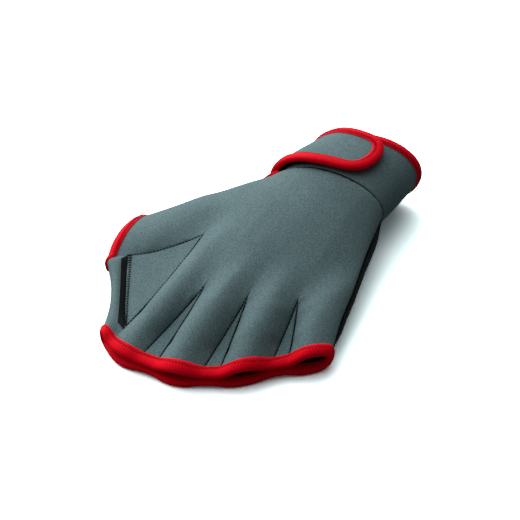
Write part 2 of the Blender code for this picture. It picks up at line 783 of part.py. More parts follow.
def clear_scene():
    for item in list(bpy.data.objects):
        bpy.data.objects.remove(item)


def settle():
    """Moves the glove so that its bounding box stands on the ground with its middle at the origin."""
    bpy.context.view_layer.update()
    scene = bpy.context.evaluated_depsgraph_get()
    corners = [Vector(corner) for made in GLOVE.objects for corner in made.evaluated_get(scene).bound_box]
    low = [min(corner[axis] for corner in corners) for axis in range(3)]
    high = [max(corner[axis] for corner in corners) for axis in range(3)]
    middle = Vector(((low[0] + high[0]) / 2, (low[1] + high[1]) / 2, low[2]))
    for made in GLOVE.objects:
        made.data.transform(Matrix.Translation(-middle))
    return middle


def main():
    build_back_panel()
    build_palm_panel()
    for web in range(len(WEBS)):
        build_web(web)
    build_cuff()
    build_strap()
    build_hook_patch()
    build_finger_binding()
    build_thumb_binding()
    build_wrist_binding()
    build_strap_binding()
    build_slit_binding()
    settle()


clear_scene()
GLOVE = bpy.data.collections.new("webbed_swim_glove")
bpy.context.scene.collection.children.link(GLOVE)
GREY = material("charcoal_neoprene", (0.105, 0.155, 0.165), 0.85)
GREY_LIGHT = material("charcoal_web", (0.125, 0.180, 0.190), 0.85)
BLACK = material("black_neoprene", (0.012, 0.016, 0.018), 0.8)
RED = material("red_tape", (0.62, 0.005, 0.012), 0.7)
main()
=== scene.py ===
"""Webbed swim glove, dressed: knitted foam rubber cloth, sewn webs and red stretch tape.

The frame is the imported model. Each cloth or tape solid is stood for by a finer piece of the same
form. Lengths are in metres, +Z is up, the palm is down and the fingers point to -Y.
"""

import bisect
import math

import bmesh
import bpy
from mathutils import Matrix, Vector, kdtree, noise


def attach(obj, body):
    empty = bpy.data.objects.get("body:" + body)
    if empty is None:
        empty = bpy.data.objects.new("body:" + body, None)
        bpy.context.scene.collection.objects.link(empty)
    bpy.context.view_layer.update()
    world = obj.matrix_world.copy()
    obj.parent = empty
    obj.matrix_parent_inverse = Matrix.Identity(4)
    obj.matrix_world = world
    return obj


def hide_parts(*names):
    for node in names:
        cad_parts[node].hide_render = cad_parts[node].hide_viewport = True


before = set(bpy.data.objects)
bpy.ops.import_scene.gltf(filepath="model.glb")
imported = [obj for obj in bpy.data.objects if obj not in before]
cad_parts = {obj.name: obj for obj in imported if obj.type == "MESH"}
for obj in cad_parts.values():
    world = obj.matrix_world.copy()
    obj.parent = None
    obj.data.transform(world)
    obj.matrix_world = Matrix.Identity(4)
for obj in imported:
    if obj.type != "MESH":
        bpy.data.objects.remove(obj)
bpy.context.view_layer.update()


# The view. The glove is seen from beyond its fingertips and a little to its pinky side, from
# about forty degrees above the table, through a long lens.
VIEW_PLACE = Vector((0.2962, -0.4353, 0.4455))
VIEW_TURN_DEG = 33.877
VIEW_DOWN_DEG = 39.875
VIEW_ROLL_DEG = -1.335
VIEW_LENS_MM = 76.165

view_turn = math.radians(VIEW_TURN_DEG)
view_down = math.radians(VIEW_DOWN_DEG)
view_back = Vector(
    (
        math.sin(view_turn) * math.cos(view_down),
        -math.cos(view_turn) * math.cos(view_down),
        math.sin(view_down),
    )
)
view_right = Vector((math.cos(view_turn), math.sin(view_turn), 0.0))
view_up = view_back.cross(view_right)
rolled = Matrix.Rotation(math.radians(VIEW_ROLL_DEG), 3, view_back)
view_axes = Matrix((rolled @ view_right, rolled @ view_up, view_back)).transposed()
camera = bpy.data.objects.new("camera", bpy.data.cameras.new("camera"))
camera.data.lens = VIEW_LENS_MM
camera.data.sensor_width = 36.0
camera.data.clip_start = 0.01
camera.data.clip_end = 20.0
camera.matrix_world = Matrix.Translation(VIEW_PLACE) @ view_axes.to_4x4()
bpy.context.scene.collection.objects.link(camera)
bpy.context.scene.camera = camera


# The back of the hand. One panel of grey foam rubber cloth covers the hand and the tops of the
# thumb and finger channels, and its strip rolls round the edge of the thumb's web. It is cut flat,
# and its edges turn down into the seams where the webs, the wristband and the palm are sewn on.
WALL = 0.0018
FLOOR = 0.0009
HAND_ORIGIN = Vector((0.018226, 0.057581, 0.000228))
WRIST_WIDTH = 0.0748
WRIST_HEIGHT = 0.0456
WRIST_CENTRE = 0.0012
SEAM_SLANT = 0.0030
HAND_LENGTH = 0.170
GLOVE_SPAN = 0.168
KNUCKLE_HEIGHT = 0.0305
FINGER_HEIGHT = 0.0125
WEB_HEIGHT = 0.0088
SEAM_LIP = 0.0022
WEB_SINK = 0.0020
PINKY_SIDE_POWER = 0.7
SEAM_GAP = 0.0003
BACK_COLOUR = (0.128, 0.200, 0.212)
LINING_COLOUR = (0.010, 0.012, 0.013)
GRAIN_TURN_DEG = -12.0
NAP_SCALE = 1250.0
NAP_DARK = 0.68
NAP_LIGHT = 1.38
CLOUD_SCALE = 42.0
LOOP_SCALE = 1150.0
LOOP_DEPTH = 0.00012
WALE_SCALE = 330.0
WALE_DEPTH = 0.00008

HAND_LINES = [
    # name, ring angle, mid x, mid y, knuckle x, knuckle y, knuckle share across
    ("thumb_side", 180.0, -0.315, 0.112, -0.423, 0.201, 0.00),
    ("thumb_index", 142.0, -0.205, 0.215, -0.268, 0.434, 0.23),
    ("index_middle", 112.0, -0.091, 0.315, -0.104, 0.648, 0.49),
    ("middle_ring", 80.0, 0.042, 0.315, 0.051, 0.616, 0.64),
    ("ring_pinky", 48.0, 0.173, 0.274, 0.202, 0.536, 0.80),
    ("pinky_side", 0.0, 0.272, 0.180, 0.322, 0.366, 1.00),
]
CHANNEL_EDGES = {
    # name: mid x, mid y, rim x, rim y, length of the open end
    "thumb_left": (-0.508, 0.291, -0.612, 0.386, 0.0085),
    "thumb_right": (-0.409, 0.555, -0.5570, 0.6290, 0.0123),
    "index_left": (-0.262, 0.717, -0.2660, 0.985, 0.0133),
    "index_right": (-0.1295, 0.8135, -0.146, 0.993, 0.0085),
    "middle_left": (-0.0946, 0.8176, -0.080, 0.985, 0.0085),
    "middle_right": (0.0585, 0.7775, 0.072, 0.941, 0.0085),
    "ring_left": (0.084, 0.7605, 0.124, 0.911, 0.0085),
    "ring_right": (0.2225, 0.652, 0.249, 0.789, 0.0085),
    "pinky_left": (0.2465, 0.6375, 0.291, 0.746, 0.0085),
    "pinky_right": (0.355, 0.512, 0.396, 0.640, 0.0085),
}
CHANNELS = [
    # name, crown at knuckle, at mid, at rim, how far the open end bows out
    ("thumb", 0.97, 0.75, 1.06, 0.014),
    ("index", 0.99, 0.77, 0.88, 0.012),
    ("middle", 1.00, 0.80, 0.98, 0.018),
    ("ring", 0.97, 0.79, 1.05, 0.015),
    ("pinky", 0.84, 0.72, 1.20, 0.011),
]
WEBS = [
    # name, level at knuckle, at mid, at rim
    ("thumb_index", 0.80, 0.52, 1.15),
    ("index_middle", 0.78, 0.47, 1.00),
    ("middle_ring", 0.76, 0.47, 1.00),
    ("ring_pinky", 0.72, 0.47, 1.00),
]
STATIONS = [
    # thumb side seam, pinky side seam, crown of the back, corner exponents at thumb and pinky
    (0.500, 0.500, 1.000, 2.0, 2.0),
    (0.410, 0.410, 0.850, 2.5, 1.6),
    (0.305, 0.330, 0.650, 2.6, 1.5),
    (0.205, 0.265, 0.560, 2.6, 1.6),
    (0.125, 0.175, 0.480, 2.6, 1.6),
]
WEB_EDGE_LINE = [
    # x, y
    (-0.5567, 0.6474),
    (-0.4997, 0.7013),
    (-0.4466, 0.7583),
    (-0.4000, 0.8191),
    (-0.3659, 0.8760),
    (-0.3272, 0.9558),
]
WEB_EDGE_CROWN = 1.10
WEB_EDGE_VALLEY = 0.84
WEB_EDGE_ENDS = 1.0 / 6.0
WEB_EDGE_TOP = 0.42
WEB_EDGE_DIP = 0.15
THUMB_SIDE_POWER = 0.5
ARCH_POWERS = (2.0, 0.66, 1.3)
FINDER_STEP = 0.0004
# where along a channel a change starts, and over how long it goes
ARCHES_START = (0.6, 0.6)
ARCH_STEEPENS = (0.95, 0.3)
ARCH_SOFTENS = (1.58, 0.22)
SINK_STARTS = (1.1, 0.25)
SINK_ENDS = (1.62, 0.16)


def lerp(a, b, t):
    return a + (b - a) * t


def smooth(t):
    t = min(1.0, max(0.0, t))
    return t * t * (3.0 - 2.0 * t)


def ramp(v, start, span):
    return smooth((v - start) / span)


def through(values, t):
    """A smooth curve through values, t running from 0 at the first to 1 at the last."""
    spans = len(values) - 1
    place = min(spans - 1e-9, max(0.0, t * spans))
    i = int(place)
    f = place - i
    p1, p2 = values[i], values[i + 1]
    p0 = values[i - 1] if i else p1 * 2.0 - p2
    p3 = values[i + 2] if i + 2 <= spans else p2 * 2.0 - p1
    return 0.5 * (
        p1 * 2.0
        + (p2 - p0) * f
        + (p0 * 2.0 - p1 * 5.0 + p2 * 4.0 - p3) * f * f
        + (p1 * 3.0 - p0 - p2 * 3.0 + p3) * f * f * f
    )


def steps_between(start, end, count):
    return [lerp(start, end, i / count) for i in range(count + 1)]


def cosine_steps(count):
    """Shares from 0 to 1, closer together at both ends, where the cloth turns into a seam."""
    return [0.5 - 0.5 * math.cos(math.pi * i / count) for i in range(count + 1)]


def side_of(channel, t):
    """-1 on the thumb side of the glove, 1 on its pinky side and 0 elsewhere."""
    if channel == 0 and t < 0.5:
        return -1
    return 1 if channel == 4 and t > 0.5 else 0


def plan(x_share, y_share):
    return Vector((x_share * GLOVE_SPAN, -y_share * HAND_LENGTH))


def edge_row(channel, right):
    return CHANNEL_EDGES[f"{CHANNELS[channel][0]}_{'right' if right else 'left'}"]


def channel_edge(channel, right, v):
    """Plan point of a channel's left or right edge, v from 0 at the wrist to 2 at the open end."""
    row = HAND_LINES[channel + (1 if right else 0)]
    edge = edge_row(channel, right)
    knuckle = plan(row[4], row[5])
    if v <= 1.0:
        turn = math.cos(math.radians(row[1]))
        start = Vector((WRIST_CENTRE + WRIST_WIDTH / 2 * turn, SEAM_SLANT * turn))
        return through([start, plan(row[2], row[3]), knuckle], v)
    return through([knuckle, plan(edge[0], edge[1]), plan(edge[2], edge[3])], v - 1.0)


EDGE_LENGTHS = {
    (channel, right): (channel_edge(channel, right, 2.0) - channel_edge(channel, right, 1.0)).length
    for channel in range(5)
    for right in (False, True)
}


def end_length(left, right, t):
    """Length of the open end between two edges, each its channel and whether it is the right one."""
    ends = [edge_row(*edge)[4] for edge in (left, right)]
    return lerp(ends[0], ends[1], min(1.0, max(0.0, t)))


def row_to_v(row, left, right, t):
    """Rows run 0 wrist, 1 knuckles, 2 where the open end starts, 3 its rim."""
    if row <= 1.0:
        return row
    length = lerp(EDGE_LENGTHS[left], EDGE_LENGTHS[right], min(1.0, max(0.0, t)))
    end = end_length(left, right, t) / length
    return lerp(1.0, 2.0 - end, row - 1.0) if row <= 2.0 else lerp(2.0 - end, 2.0, row - 2.0)


def channel_v(channel, t, row):
    return row_to_v(row, (channel, False), (channel, True), t)


def web_v(web, t, row):
    return row_to_v(row, (web, True), (web + 1, False), t)


def channel_plan(channel, t, v):
    t = min(1.0, max(0.0, t))
    left, right = (channel_edge(channel, side, v) for side in (False, True))
    before_left, before_right = (channel_edge(channel, side, v - 0.02) for side in (False, True))
    back = before_left - left + before_right - right
    bow = CHANNELS[channel][4] * HAND_LENGTH * smooth(v - 1.0) * (1.0 - (2.0 * t - 1.0) ** 2)
    return left.lerp(right, t) - back.normalized() * bow


def web_plan(web, t, v):
    return channel_edge(web, True, v).lerp(channel_edge(web + 1, False, v), t)


def side_height(v, across):
    thumb, pinky = (through([row[i] for row in STATIONS], v / 2.0) for i in (0, 1))
    return FLOOR + WRIST_HEIGHT * lerp(thumb, pinky, across)


def levels_along(knuckle, mid, rim, v):
    if v > 1.0:
        return through([knuckle, mid, rim], v - 1.0)
    return knuckle + (1.0 - v) * (knuckle - mid)


def web_level(web, v):
    _, knuckle, mid, rim = WEBS[web]
    return levels_along(knuckle * KNUCKLE_HEIGHT, mid * KNUCKLE_HEIGHT, rim * WEB_HEIGHT, v)


def crown(channel, v):
    _, knuckle, mid, rim, _ = CHANNELS[channel]
    return levels_along(knuckle * KNUCKLE_HEIGHT, mid * KNUCKLE_HEIGHT, rim * FINGER_HEIGHT, v)


def sink(v):
    """How far a channel's edge lies below the top of the web that butts against its wall."""
    return WEB_SINK * ramp(v, *SINK_STARTS) * (1.0 - ramp(v, *SINK_ENDS))


def arch_power(v):
    start, middle, end = ARCH_POWERS
    return lerp(lerp(start, middle, ramp(v, *ARCH_STEEPENS)), end, ramp(v, *ARCH_SOFTENS))


def across_share(channel, t, v):
    shares = [
        lerp((1.0 + math.cos(math.radians(row[1]))) / 2.0, row[6], min(1.0, v))
        for row in HAND_LINES[channel : channel + 2]
    ]
    return lerp(shares[0], shares[1], min(1.0, max(0.0, t)))


def dome_height(channel, t, v):
    across = across_share(channel, t, v)
    low = side_height(v, across) + SEAM_LIP
    top = FLOOR + WRIST_HEIGHT * through([row[2] for row in STATIONS], v / 2.0)
    power = through([row[3 if across < 0.5 else 4] for row in STATIONS], v / 2.0)
    return low + (top - low) * (1.0 - abs(2.0 * across - 1.0) ** power) ** (1.0 / power)


def arch_height(channel, t, v):
    side = side_of(channel, t)
    if side:
        low = side_height(v, (1 + side) / 2) + SEAM_LIP
        power = THUMB_SIDE_POWER if side < 0 else PINKY_SIDE_POWER
    else:
        low, power = web_level(channel if t > 0.5 else channel - 1, v) - sink(v), arch_power(v)
    return low + (crown(channel, v) - low) * max(0.0, 1.0 - (2.0 * t - 1.0) ** 2) ** power


def back_height(channel, t, v):
    if not 0.0 <= t <= 1.0:
        return side_height(v, 0.0 if t < 0.5 else 1.0) + SEAM_GAP / 2
    share = ramp(v, *ARCHES_START)
    if share >= 1.0:
        return arch_height(channel, t, v)
    return lerp(dome_height(channel, t, v), arch_height(channel, t, v), share)


def back_point(channel, t, row):
    v = channel_v(channel, t, row)
    return Vector((*channel_plan(channel, t, v), back_height(channel, t, v)))


def strip_inner(share):
    """Channel, side and row of the rolled strip's inner line at its taped ends, or None."""
    if share <= WEB_EDGE_ENDS:
        return 0, True, 3.0 - share / WEB_EDGE_ENDS
    if share >= 1.0 - WEB_EDGE_ENDS:
        return 1, False, 3.0 - (1.0 - share) / WEB_EDGE_ENDS
    return None


def web_edge_plan(t, share):
    taped = strip_inner(share)
    if taped:
        channel, right, row = taped
        inner = channel_edge(channel, right, channel_v(channel, 1.0 if right else 0.0, row))
    else:
        across = (share - WEB_EDGE_ENDS) / (1.0 - 2.0 * WEB_EDGE_ENDS)
        inner = web_plan(0, across, web_v(0, across, 2.0))
    outer = through([plan(x, y) for x, y in WEB_EDGE_LINE], share)
    return outer.lerp(inner, t)


def web_edge_point(t, share):
    """The strip that rolls round the thumb web's edge, t from the side seam inwards."""
    taped = strip_inner(share)
    point = web_edge_plan(max(0.0, t), share)
    low = side_height(2.0, 0.0)
    if t < 0.0:
        return Vector((*point, low + SEAM_GAP / 2))
    start, end = back_point(0, 1.0, 2.0).z, back_point(1, 0.0, 2.0).z
    if taped:
        channel, right, row = taped
        inner = back_point(channel, 1.0 if right else 0.0, row).z
    else:
        inner = lerp(start, end, (share - WEB_EDGE_ENDS) / (1.0 - 2.0 * WEB_EDGE_ENDS))
        near = min(share, 1.0 - share) - WEB_EDGE_ENDS
        inner = lerp(inner, FINGER_HEIGHT * WEB_EDGE_VALLEY, smooth(near / WEB_EDGE_DIP))
    full = smooth(share / WEB_EDGE_ENDS)
    top = max(inner, lerp(inner, FINGER_HEIGHT * WEB_EDGE_CROWN, full))
    if t > WEB_EDGE_TOP:
        rise = smooth((t - WEB_EDGE_TOP) / (1.0 - WEB_EDGE_TOP))
        return Vector((*point, lerp(top, inner, rise)))
    turn = math.sqrt(1.0 - (1.0 - t / WEB_EDGE_TOP) ** 2)
    return Vector((*point, lerp(low + SEAM_LIP, top, turn)))


def add_cloth(mesh, across_values, down_values, place, reverse=False):
    """One patch of cloth: a grid whose points come from place(column value, row value).

    Returns each vertex with the numbers of its column and row.
    """
    across, down = len(across_values) - 1, len(down_values) - 1
    made = bmesh.ops.create_grid(mesh, x_segments=across, y_segments=down, size=1.0)["verts"]
    spots = {}
    for vert in made:
        i = round((vert.co.x + 1.0) / 2.0 * across)
        j = down - round((vert.co.y + 1.0) / 2.0 * down)
        spots[vert] = (i, j)
        vert.co = place(across_values[i], down_values[j]) + HAND_ORIGIN
    if reverse:
        faces = {face for vert in made for face in vert.link_faces}
        bmesh.ops.reverse_faces(mesh, faces=list(faces))
    return spots


def near_lines(lines):
    """A finder of the closest point on lines, filled in to less than half a millimetre apart."""
    points = []
    for line in lines:
        for a, b in zip(line, line[1:]):
            count = max(1, math.ceil((b - a).length / FINDER_STEP))
            points += [a.lerp(b, i / count) + HAND_ORIGIN for i in range(count + 1)]
    finder = kdtree.KDTree(len(points))
    for i, point in enumerate(points):
        finder.insert(point, i)
    finder.balance()
    return finder


def turn_down(mesh, lines, reach, drop):
    """Rolls a panel's cut edge down into its seam, like a quarter round."""
    finder = near_lines(lines)
    mesh.normal_update()
    moves = []
    for vert in mesh.verts:
        far = finder.find(vert.co)[2]
        if far < reach:
            share = 1.0 - far / reach
            moves.append((vert, vert.normal * drop * (1.0 - math.sqrt(max(0.0, 1.0 - share**2)))))
    for vert, move in moves:
        vert.co -= move


def finish_piece(name, mesh, finishes, nodes, wall=0.0, rounding=1):
    """Makes the mesh a piece that rides on the glove and stands for its nodes."""
    bmesh.ops.remove_doubles(mesh, verts=mesh.verts, dist=1e-6)
    data = bpy.data.meshes.new(name)
    mesh.to_mesh(data)
    mesh.free()
    for finish in finishes:
        data.materials.append(finish)
    data.shade_smooth()
    made = bpy.data.objects.new(name, data)
    bpy.context.scene.collection.objects.link(made)
    if wall:
        solid = made.modifiers.new("wall", "SOLIDIFY")
        solid.thickness = wall
        solid.offset = -1.0
        solid.use_quality_normals = True
        solid.material_offset = len(finishes) - 1
        solid.material_offset_rim = 0
    if rounding:
        softer = made.modifiers.new("rounding", "SUBSURF")
        softer.levels = rounding
        softer.render_levels = rounding
    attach(made, "root")
    if nodes:
        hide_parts(*nodes)
    return made


def fill_sockets(node, values):
    """Sets a node's sockets to their values, or links those whose value is another socket."""
    for socket, value in values.items():
        if isinstance(value, bpy.types.NodeSocket):
            node.id_data.links.new(value, node.inputs[socket])
        else:
            node.inputs[socket].default_value = value


def add_node(tree, kind, values, **settings):
    made = tree.nodes.new("ShaderNode" + kind)
    for setting, value in settings.items():
        setattr(made, setting, value)
    fill_sockets(made, values)
    return made


def new_finish(name):
    """A new material, with its node tree and its shader."""
    made = bpy.data.materials.new(name)
    made.use_nodes = True
    return made, made.node_tree, made.node_tree.nodes["Principled BSDF"]


def shaded(tree, colour, dark, light, factor):
    """The colour, from darker to lighter than it is as the factor goes from 0 to 1."""
    values = {
        "A": (*[value * dark for value in colour], 1.0),
        "B": (*[min(1.0, value * light) for value in colour], 1.0),
        "Factor": factor,
    }
    return add_node(tree, "Mix", values, data_type="RGBA").outputs["Result"]


def bumped(tree, height, distance, strength, below=None):
    """A normal raised by a height, on top of another bump where there is one."""
    values = {"Height": height, "Distance": distance, "Strength": strength}
    if below is not None:
        values["Normal"] = below
    return add_node(tree, "Bump", values).outputs["Normal"]


def knitted_cloth(name, colour, roughness=0.9, relief=1.0):
    """Foam rubber cloth with a fine knitted face: wales along the hand, and a mottled nap."""
    made, tree, shader = new_finish(name)
    place = add_node(tree, "TexCoord", {}).outputs["Object"]
    grain = {"Vector": place, "Rotation": (0.0, 0.0, math.radians(GRAIN_TURN_DEG))}
    turned = add_node(tree, "Mapping", grain).outputs["Vector"]
    nap = add_node(
        tree, "TexNoise", {"Vector": turned, "Scale": NAP_SCALE, "Detail": 2.0, "Roughness": 0.65}
    )
    clouds = add_node(tree, "TexNoise", {"Vector": turned, "Scale": CLOUD_SCALE, "Detail": 2.0})
    loops = add_node(tree, "TexVoronoi", {"Vector": turned, "Scale": LOOP_SCALE})
    wales = add_node(
        tree, "TexWave", {"Vector": turned, "Scale": WALE_SCALE, "Distortion": 1.2, "Detail": 1.0}
    )
    spread = add_node(
        tree, "MapRange", {"Value": nap.outputs["Fac"], "From Min": 0.32, "From Max": 0.68}
    )
    fade = add_node(
        tree,
        "MapRange",
        {
            "Value": clouds.outputs["Fac"],
            "From Min": 0.3,
            "From Max": 0.7,
            "To Min": 0.93,
            "To Max": 1.05,
        },
    )
    mottle = shaded(tree, colour, NAP_DARK, NAP_LIGHT, spread.outputs["Result"])
    tone = add_node(
        tree,
        "Mix",
        {"A": mottle, "B": fade.outputs["Result"], "Factor": 1.0},
        data_type="RGBA",
        blend_type="MULTIPLY",
    )
    knit = bumped(tree, loops.outputs["Distance"], LOOP_DEPTH * relief, 0.7)
    fill_sockets(
        shader,
        {
            "Base Color": tone.outputs["Result"],
            "Normal": bumped(tree, wales.outputs["Fac"], WALE_DEPTH * relief, 0.5, knit),
            "Roughness": roughness,
            "Specular IOR Level": 0.15,
            "Sheen Weight": 0.04,
            "Sheen Roughness": 0.45,
        },
    )
    return made


back_cloth_finish = knitted_cloth("charcoal_cloth", BACK_COLOUR)
lining_finish = knitted_cloth("black_lining", LINING_COLOUR, 0.95)

HAND_ROWS = steps_between(0.0, 1.0, 34)
FINGER_ROWS = steps_between(1.0, 2.0, 40)[1:]
END_ROWS = steps_between(2.0, 3.0, 5)[1:]
CHANNEL_STEPS = cosine_steps(20)
HAND_EASE_TIMES = 30
HAND_EASE_REACH = 0.016
HAND_EASE_CLEAR = 0.003
WEB_SEAM_END = 2.9
BACK_SEAM_REACH = 0.0011
BACK_SEAM_DROP = 0.0008
WRIST_SEAM_REACH = 0.0016
WRIST_SEAM_DROP = 0.0012

back_mesh = bmesh.new()
for channel in range(5):
    steps = list(CHANNEL_STEPS)
    # columns below 0 and above 1 are the lips that go down to the side seams
    if channel == 0:
        steps = [-0.02, -0.01] + steps
    if channel == 4:
        steps = steps + [1.01, 1.02]

    def place_back(t, row, channel=channel):
        point = back_point(channel, t, row)
        if t in (-0.01, 1.01):
            point.z = (back_point(channel, min(1.0, max(0.0, t)), row).z + point.z) / 2
        return point

    add_cloth(back_mesh, steps, HAND_ROWS + FINGER_ROWS + END_ROWS, place_back)
strip_ends = [(3.0 - row) * WEB_EDGE_ENDS for row in [3.0] + list(reversed(END_ROWS))[1:] + [2.0]]
strip_middle = steps_between(WEB_EDGE_ENDS, 1.0 - WEB_EDGE_ENDS, 24)[1:-1]
strip_shares = strip_ends + strip_middle + [1.0 - share for share in reversed(strip_ends)]
STRIP_STEPS = [0.0, 0.03, 0.08, 0.15, 0.24, 0.35, 0.47, 0.59, 0.70, 0.80, 0.88, 0.94, 0.98, 1.0]
add_cloth(back_mesh, [-0.02] + STRIP_STEPS, strip_shares, web_edge_point)
bmesh.ops.remove_doubles(back_mesh, verts=back_mesh.verts, dist=1e-6)
web_seams = [
    [
        back_point(web + (0 if right else 1), 1.0 if right else 0.0, row)
        for row in steps_between(1.0, WEB_SEAM_END if web else 2.0, 60)
    ]
    for web in range(4)
    for right in (True, False)
]
strip_seam = [
    web_edge_point(1.0, share) for share in steps_between(WEB_EDGE_ENDS, 1.0 - WEB_EDGE_ENDS, 40)
]
cuff_seam = [
    back_point(channel, t, 0.0) for channel in range(5) for t in steps_between(0.0, 1.0, 12)
]
seam_finder = near_lines(web_seams)
line_finder = near_lines(
    [[back_point(channel, 1.0, row) for row in steps_between(0.0, 1.3, 40)] for channel in range(4)]
)
hand_verts = [
    (line_finder.find(vert.co)[2], vert)
    for vert in back_mesh.verts
    if not vert.is_boundary and seam_finder.find(vert.co)[2] > HAND_EASE_CLEAR
]
for i in range(HAND_EASE_TIMES):
    reach = lerp(HAND_EASE_REACH, HAND_EASE_CLEAR, i / HAND_EASE_TIMES)
    soft_verts = [vert for far, vert in hand_verts if far < reach]
    bmesh.ops.smooth_vert(
        back_mesh, verts=soft_verts, factor=0.5, use_axis_x=True, use_axis_y=True, use_axis_z=True
    )
turn_down(back_mesh, web_seams + [strip_seam], BACK_SEAM_REACH, BACK_SEAM_DROP)
turn_down(back_mesh, [cuff_seam], WRIST_SEAM_REACH, WRIST_SEAM_DROP)
back_cloth = finish_piece(
    "back_cloth",
    back_mesh,
    [back_cloth_finish, lining_finish],
    ["back_panel"],
    WALL,
)


# The webs. Four triangles of the same cloth, cut across its grain, are let in between the channels
# and sewn along both edges with their points at the knuckles. They lie a little below the channels.
WEB_COLOUR = (0.118, 0.186, 0.198)
WEB_POINT_ROWS = [1.02, 1.035, 1.05]
WEB_CLEAR = 0.00012
WEB_SEAM_REACH = 0.0010
WEB_SEAM_DROP = 0.0007


def web_point(web, t, row):
    v = web_v(web, t, row)
    return Vector((*web_plan(web, t, v), back_height(web, 1.0, v) + sink(v)))


web_finish = knitted_cloth("charcoal_web_cloth", WEB_COLOUR)
for web in range(4):
    web_mesh = bmesh.new()
    rows = WEB_POINT_ROWS + [row for row in FINGER_ROWS if row > WEB_POINT_ROWS[-1] + 0.01]
    if web:
        rows += END_ROWS

    def place_web(t, row, web=web):
        v = web_v(web, t, row)
        width = (web_plan(web, 1.0, v) - web_plan(web, 0.0, v)).length
        gap = min(0.45, WEB_CLEAR / width)
        return web_point(web, lerp(gap, 1.0 - gap, t), row)

    add_cloth(web_mesh, cosine_steps(28 if web == 0 else 12), rows, place_web)
    edge_rows = steps_between(1.0, 3.0 if web else 2.0, 60)
    edges = [[web_point(web, side, row) for row in edge_rows] for side in (0.0, 1.0)]
    if web == 0:
        edges.append([web_point(0, t, 2.0) for t in steps_between(0.0, 1.0, 30)])
    turn_down(web_mesh, edges, WEB_SEAM_REACH, WEB_SEAM_DROP)
    web_cloth = finish_piece(
        "web_cloth_" + WEBS[web][0],
        web_mesh,
        [web_finish, lining_finish],
        ["web_" + WEBS[web][0]],
        WALL,
    )


# The palm. One black panel of the same cloth runs under the hand, the channels and the webs, and
# is sewn to the back along the glove's sides and round the rolled strip.
PALM_COLOUR = (0.0085, 0.0115, 0.0125)
PALM_RISE = 0.0012
PALM_INSET = 0.0005
PALM_BULGE = 0.0026
PALM_POWER = 2.6
# where along a channel a change starts, and over how long it goes
PALM_ROUNDS = (0.0, 0.5)
INSET_STARTS = (0.0, 0.3)
INSET_ENDS = (1.5, 0.3)
PALM_EDGES_RISE = (1.2, 0.6)


def palm_floor(v):
    return FLOOR + PALM_RISE * math.sin(math.pi * min(1.0, v / 1.6))


def palm_roll(share):
    """How far down the palm has rolled from its side seam, a share of 1 being at the seam."""
    return (1.0 - share**PALM_POWER) ** (1.0 / PALM_POWER)


def palm_point(channel, t, row):
    v = channel_v(channel, t, row)
    side = side_of(channel, t)
    point = channel_plan(channel, t, v)
    inset = PALM_INSET * ramp(v, *INSET_STARTS) * (1.0 - ramp(v, *INSET_ENDS))
    if side:
        middle = channel_plan(channel, 0.5, v)
        inset = inset if side < 0 else -PALM_BULGE * inset / PALM_INSET
        point += (middle - point).normalized() * inset * min(1.0, abs(2.0 * t - 1.0))
    if not 0.0 <= t <= 1.0:
        return Vector((*point, side_height(v, (1 + side) / 2) - SEAM_GAP / 2))
    height = palm_floor(v) + PALM_RISE * ramp(v, *PALM_EDGES_RISE) * abs(2.0 * t - 1.0) ** 3
    if side:
        low = side_height(v, (1 + side) / 2) - SEAM_LIP
        height = lerp(low, palm_floor(v), palm_roll(abs(2.0 * t - 1.0)))
    across = across_share(channel, t, v)
    drop = math.sqrt(max(0.0, 1.0 - (2.0 * across - 1.0) ** 2))
    ring = lerp(side_height(v, across) - SEAM_LIP, FLOOR, drop)
    return Vector((*point, lerp(ring, height, ramp(v, *PALM_ROUNDS))))


def palm_web_point(web, t, row):
    v = web_v(web, t, row)
    return Vector((*web_plan(web, t, v), palm_floor(v) + PALM_RISE * ramp(v, *PALM_EDGES_RISE)))


def palm_edge_point(t, share):
    point = web_edge_plan(max(0.0, t), share)
    low = side_height(2.0, 0.0)
    if t < 0.0:
        return Vector((*point, low - SEAM_GAP / 2))
    flat = palm_floor(2.0) + PALM_RISE * smooth(t)
    return Vector((*point, lerp(low - SEAM_LIP, flat, palm_roll(1.0 - t))))


palm_finish = knitted_cloth("black_palm_cloth", PALM_COLOUR, 0.85, 1.4)
palm_mesh = bmesh.new()
palm_rows = steps_between(0.0, 1.0, 16) + steps_between(1.0, 2.0, 18)[1:] + END_ROWS
for channel in range(5):
    steps = cosine_steps(12)
    if channel == 0:
        steps = [-0.02] + steps
    if channel == 4:
        steps = steps + [1.02]
    add_cloth(
        palm_mesh, steps, palm_rows, lambda t, row, c=channel: palm_point(c, t, row), reverse=True
    )
for web in range(4):
    add_cloth(
        palm_mesh,
        steps_between(0.0, 1.0, 6 if web else 24),
        [row for row in palm_rows if 1.0 <= row <= (3.0 if web else 2.0)],
        lambda t, row, w=web: palm_web_point(w, t, row),
        reverse=True,
    )
add_cloth(palm_mesh, [-0.02] + STRIP_STEPS, strip_shares, palm_edge_point, reverse=True)
palm_cloth = finish_piece(
    "palm_cloth", palm_mesh, [palm_finish, lining_finish], ["palm_panel"], WALL
)


# The wristband. A band of the grey cloth is sewn to the hand's end and closes round the wrist. It
# is open at the thumb side, under the strap, so that the hand can go in.
TAPED_LENGTH = 0.0085
CUFF_LENGTH = 0.0475
CUFF_BULGE = 0.0006
WRIST_SLANT = 0.0075
WRIST_TAPER = 0.0095
CUFF_START_DEG = -155.0
CUFF_END_DEG = 160.0
SEAM_TUCK = 0.0001
CUFF_SEAM_DROP = 0.0010
CUFF_COLOUR = (0.112, 0.176, 0.187)


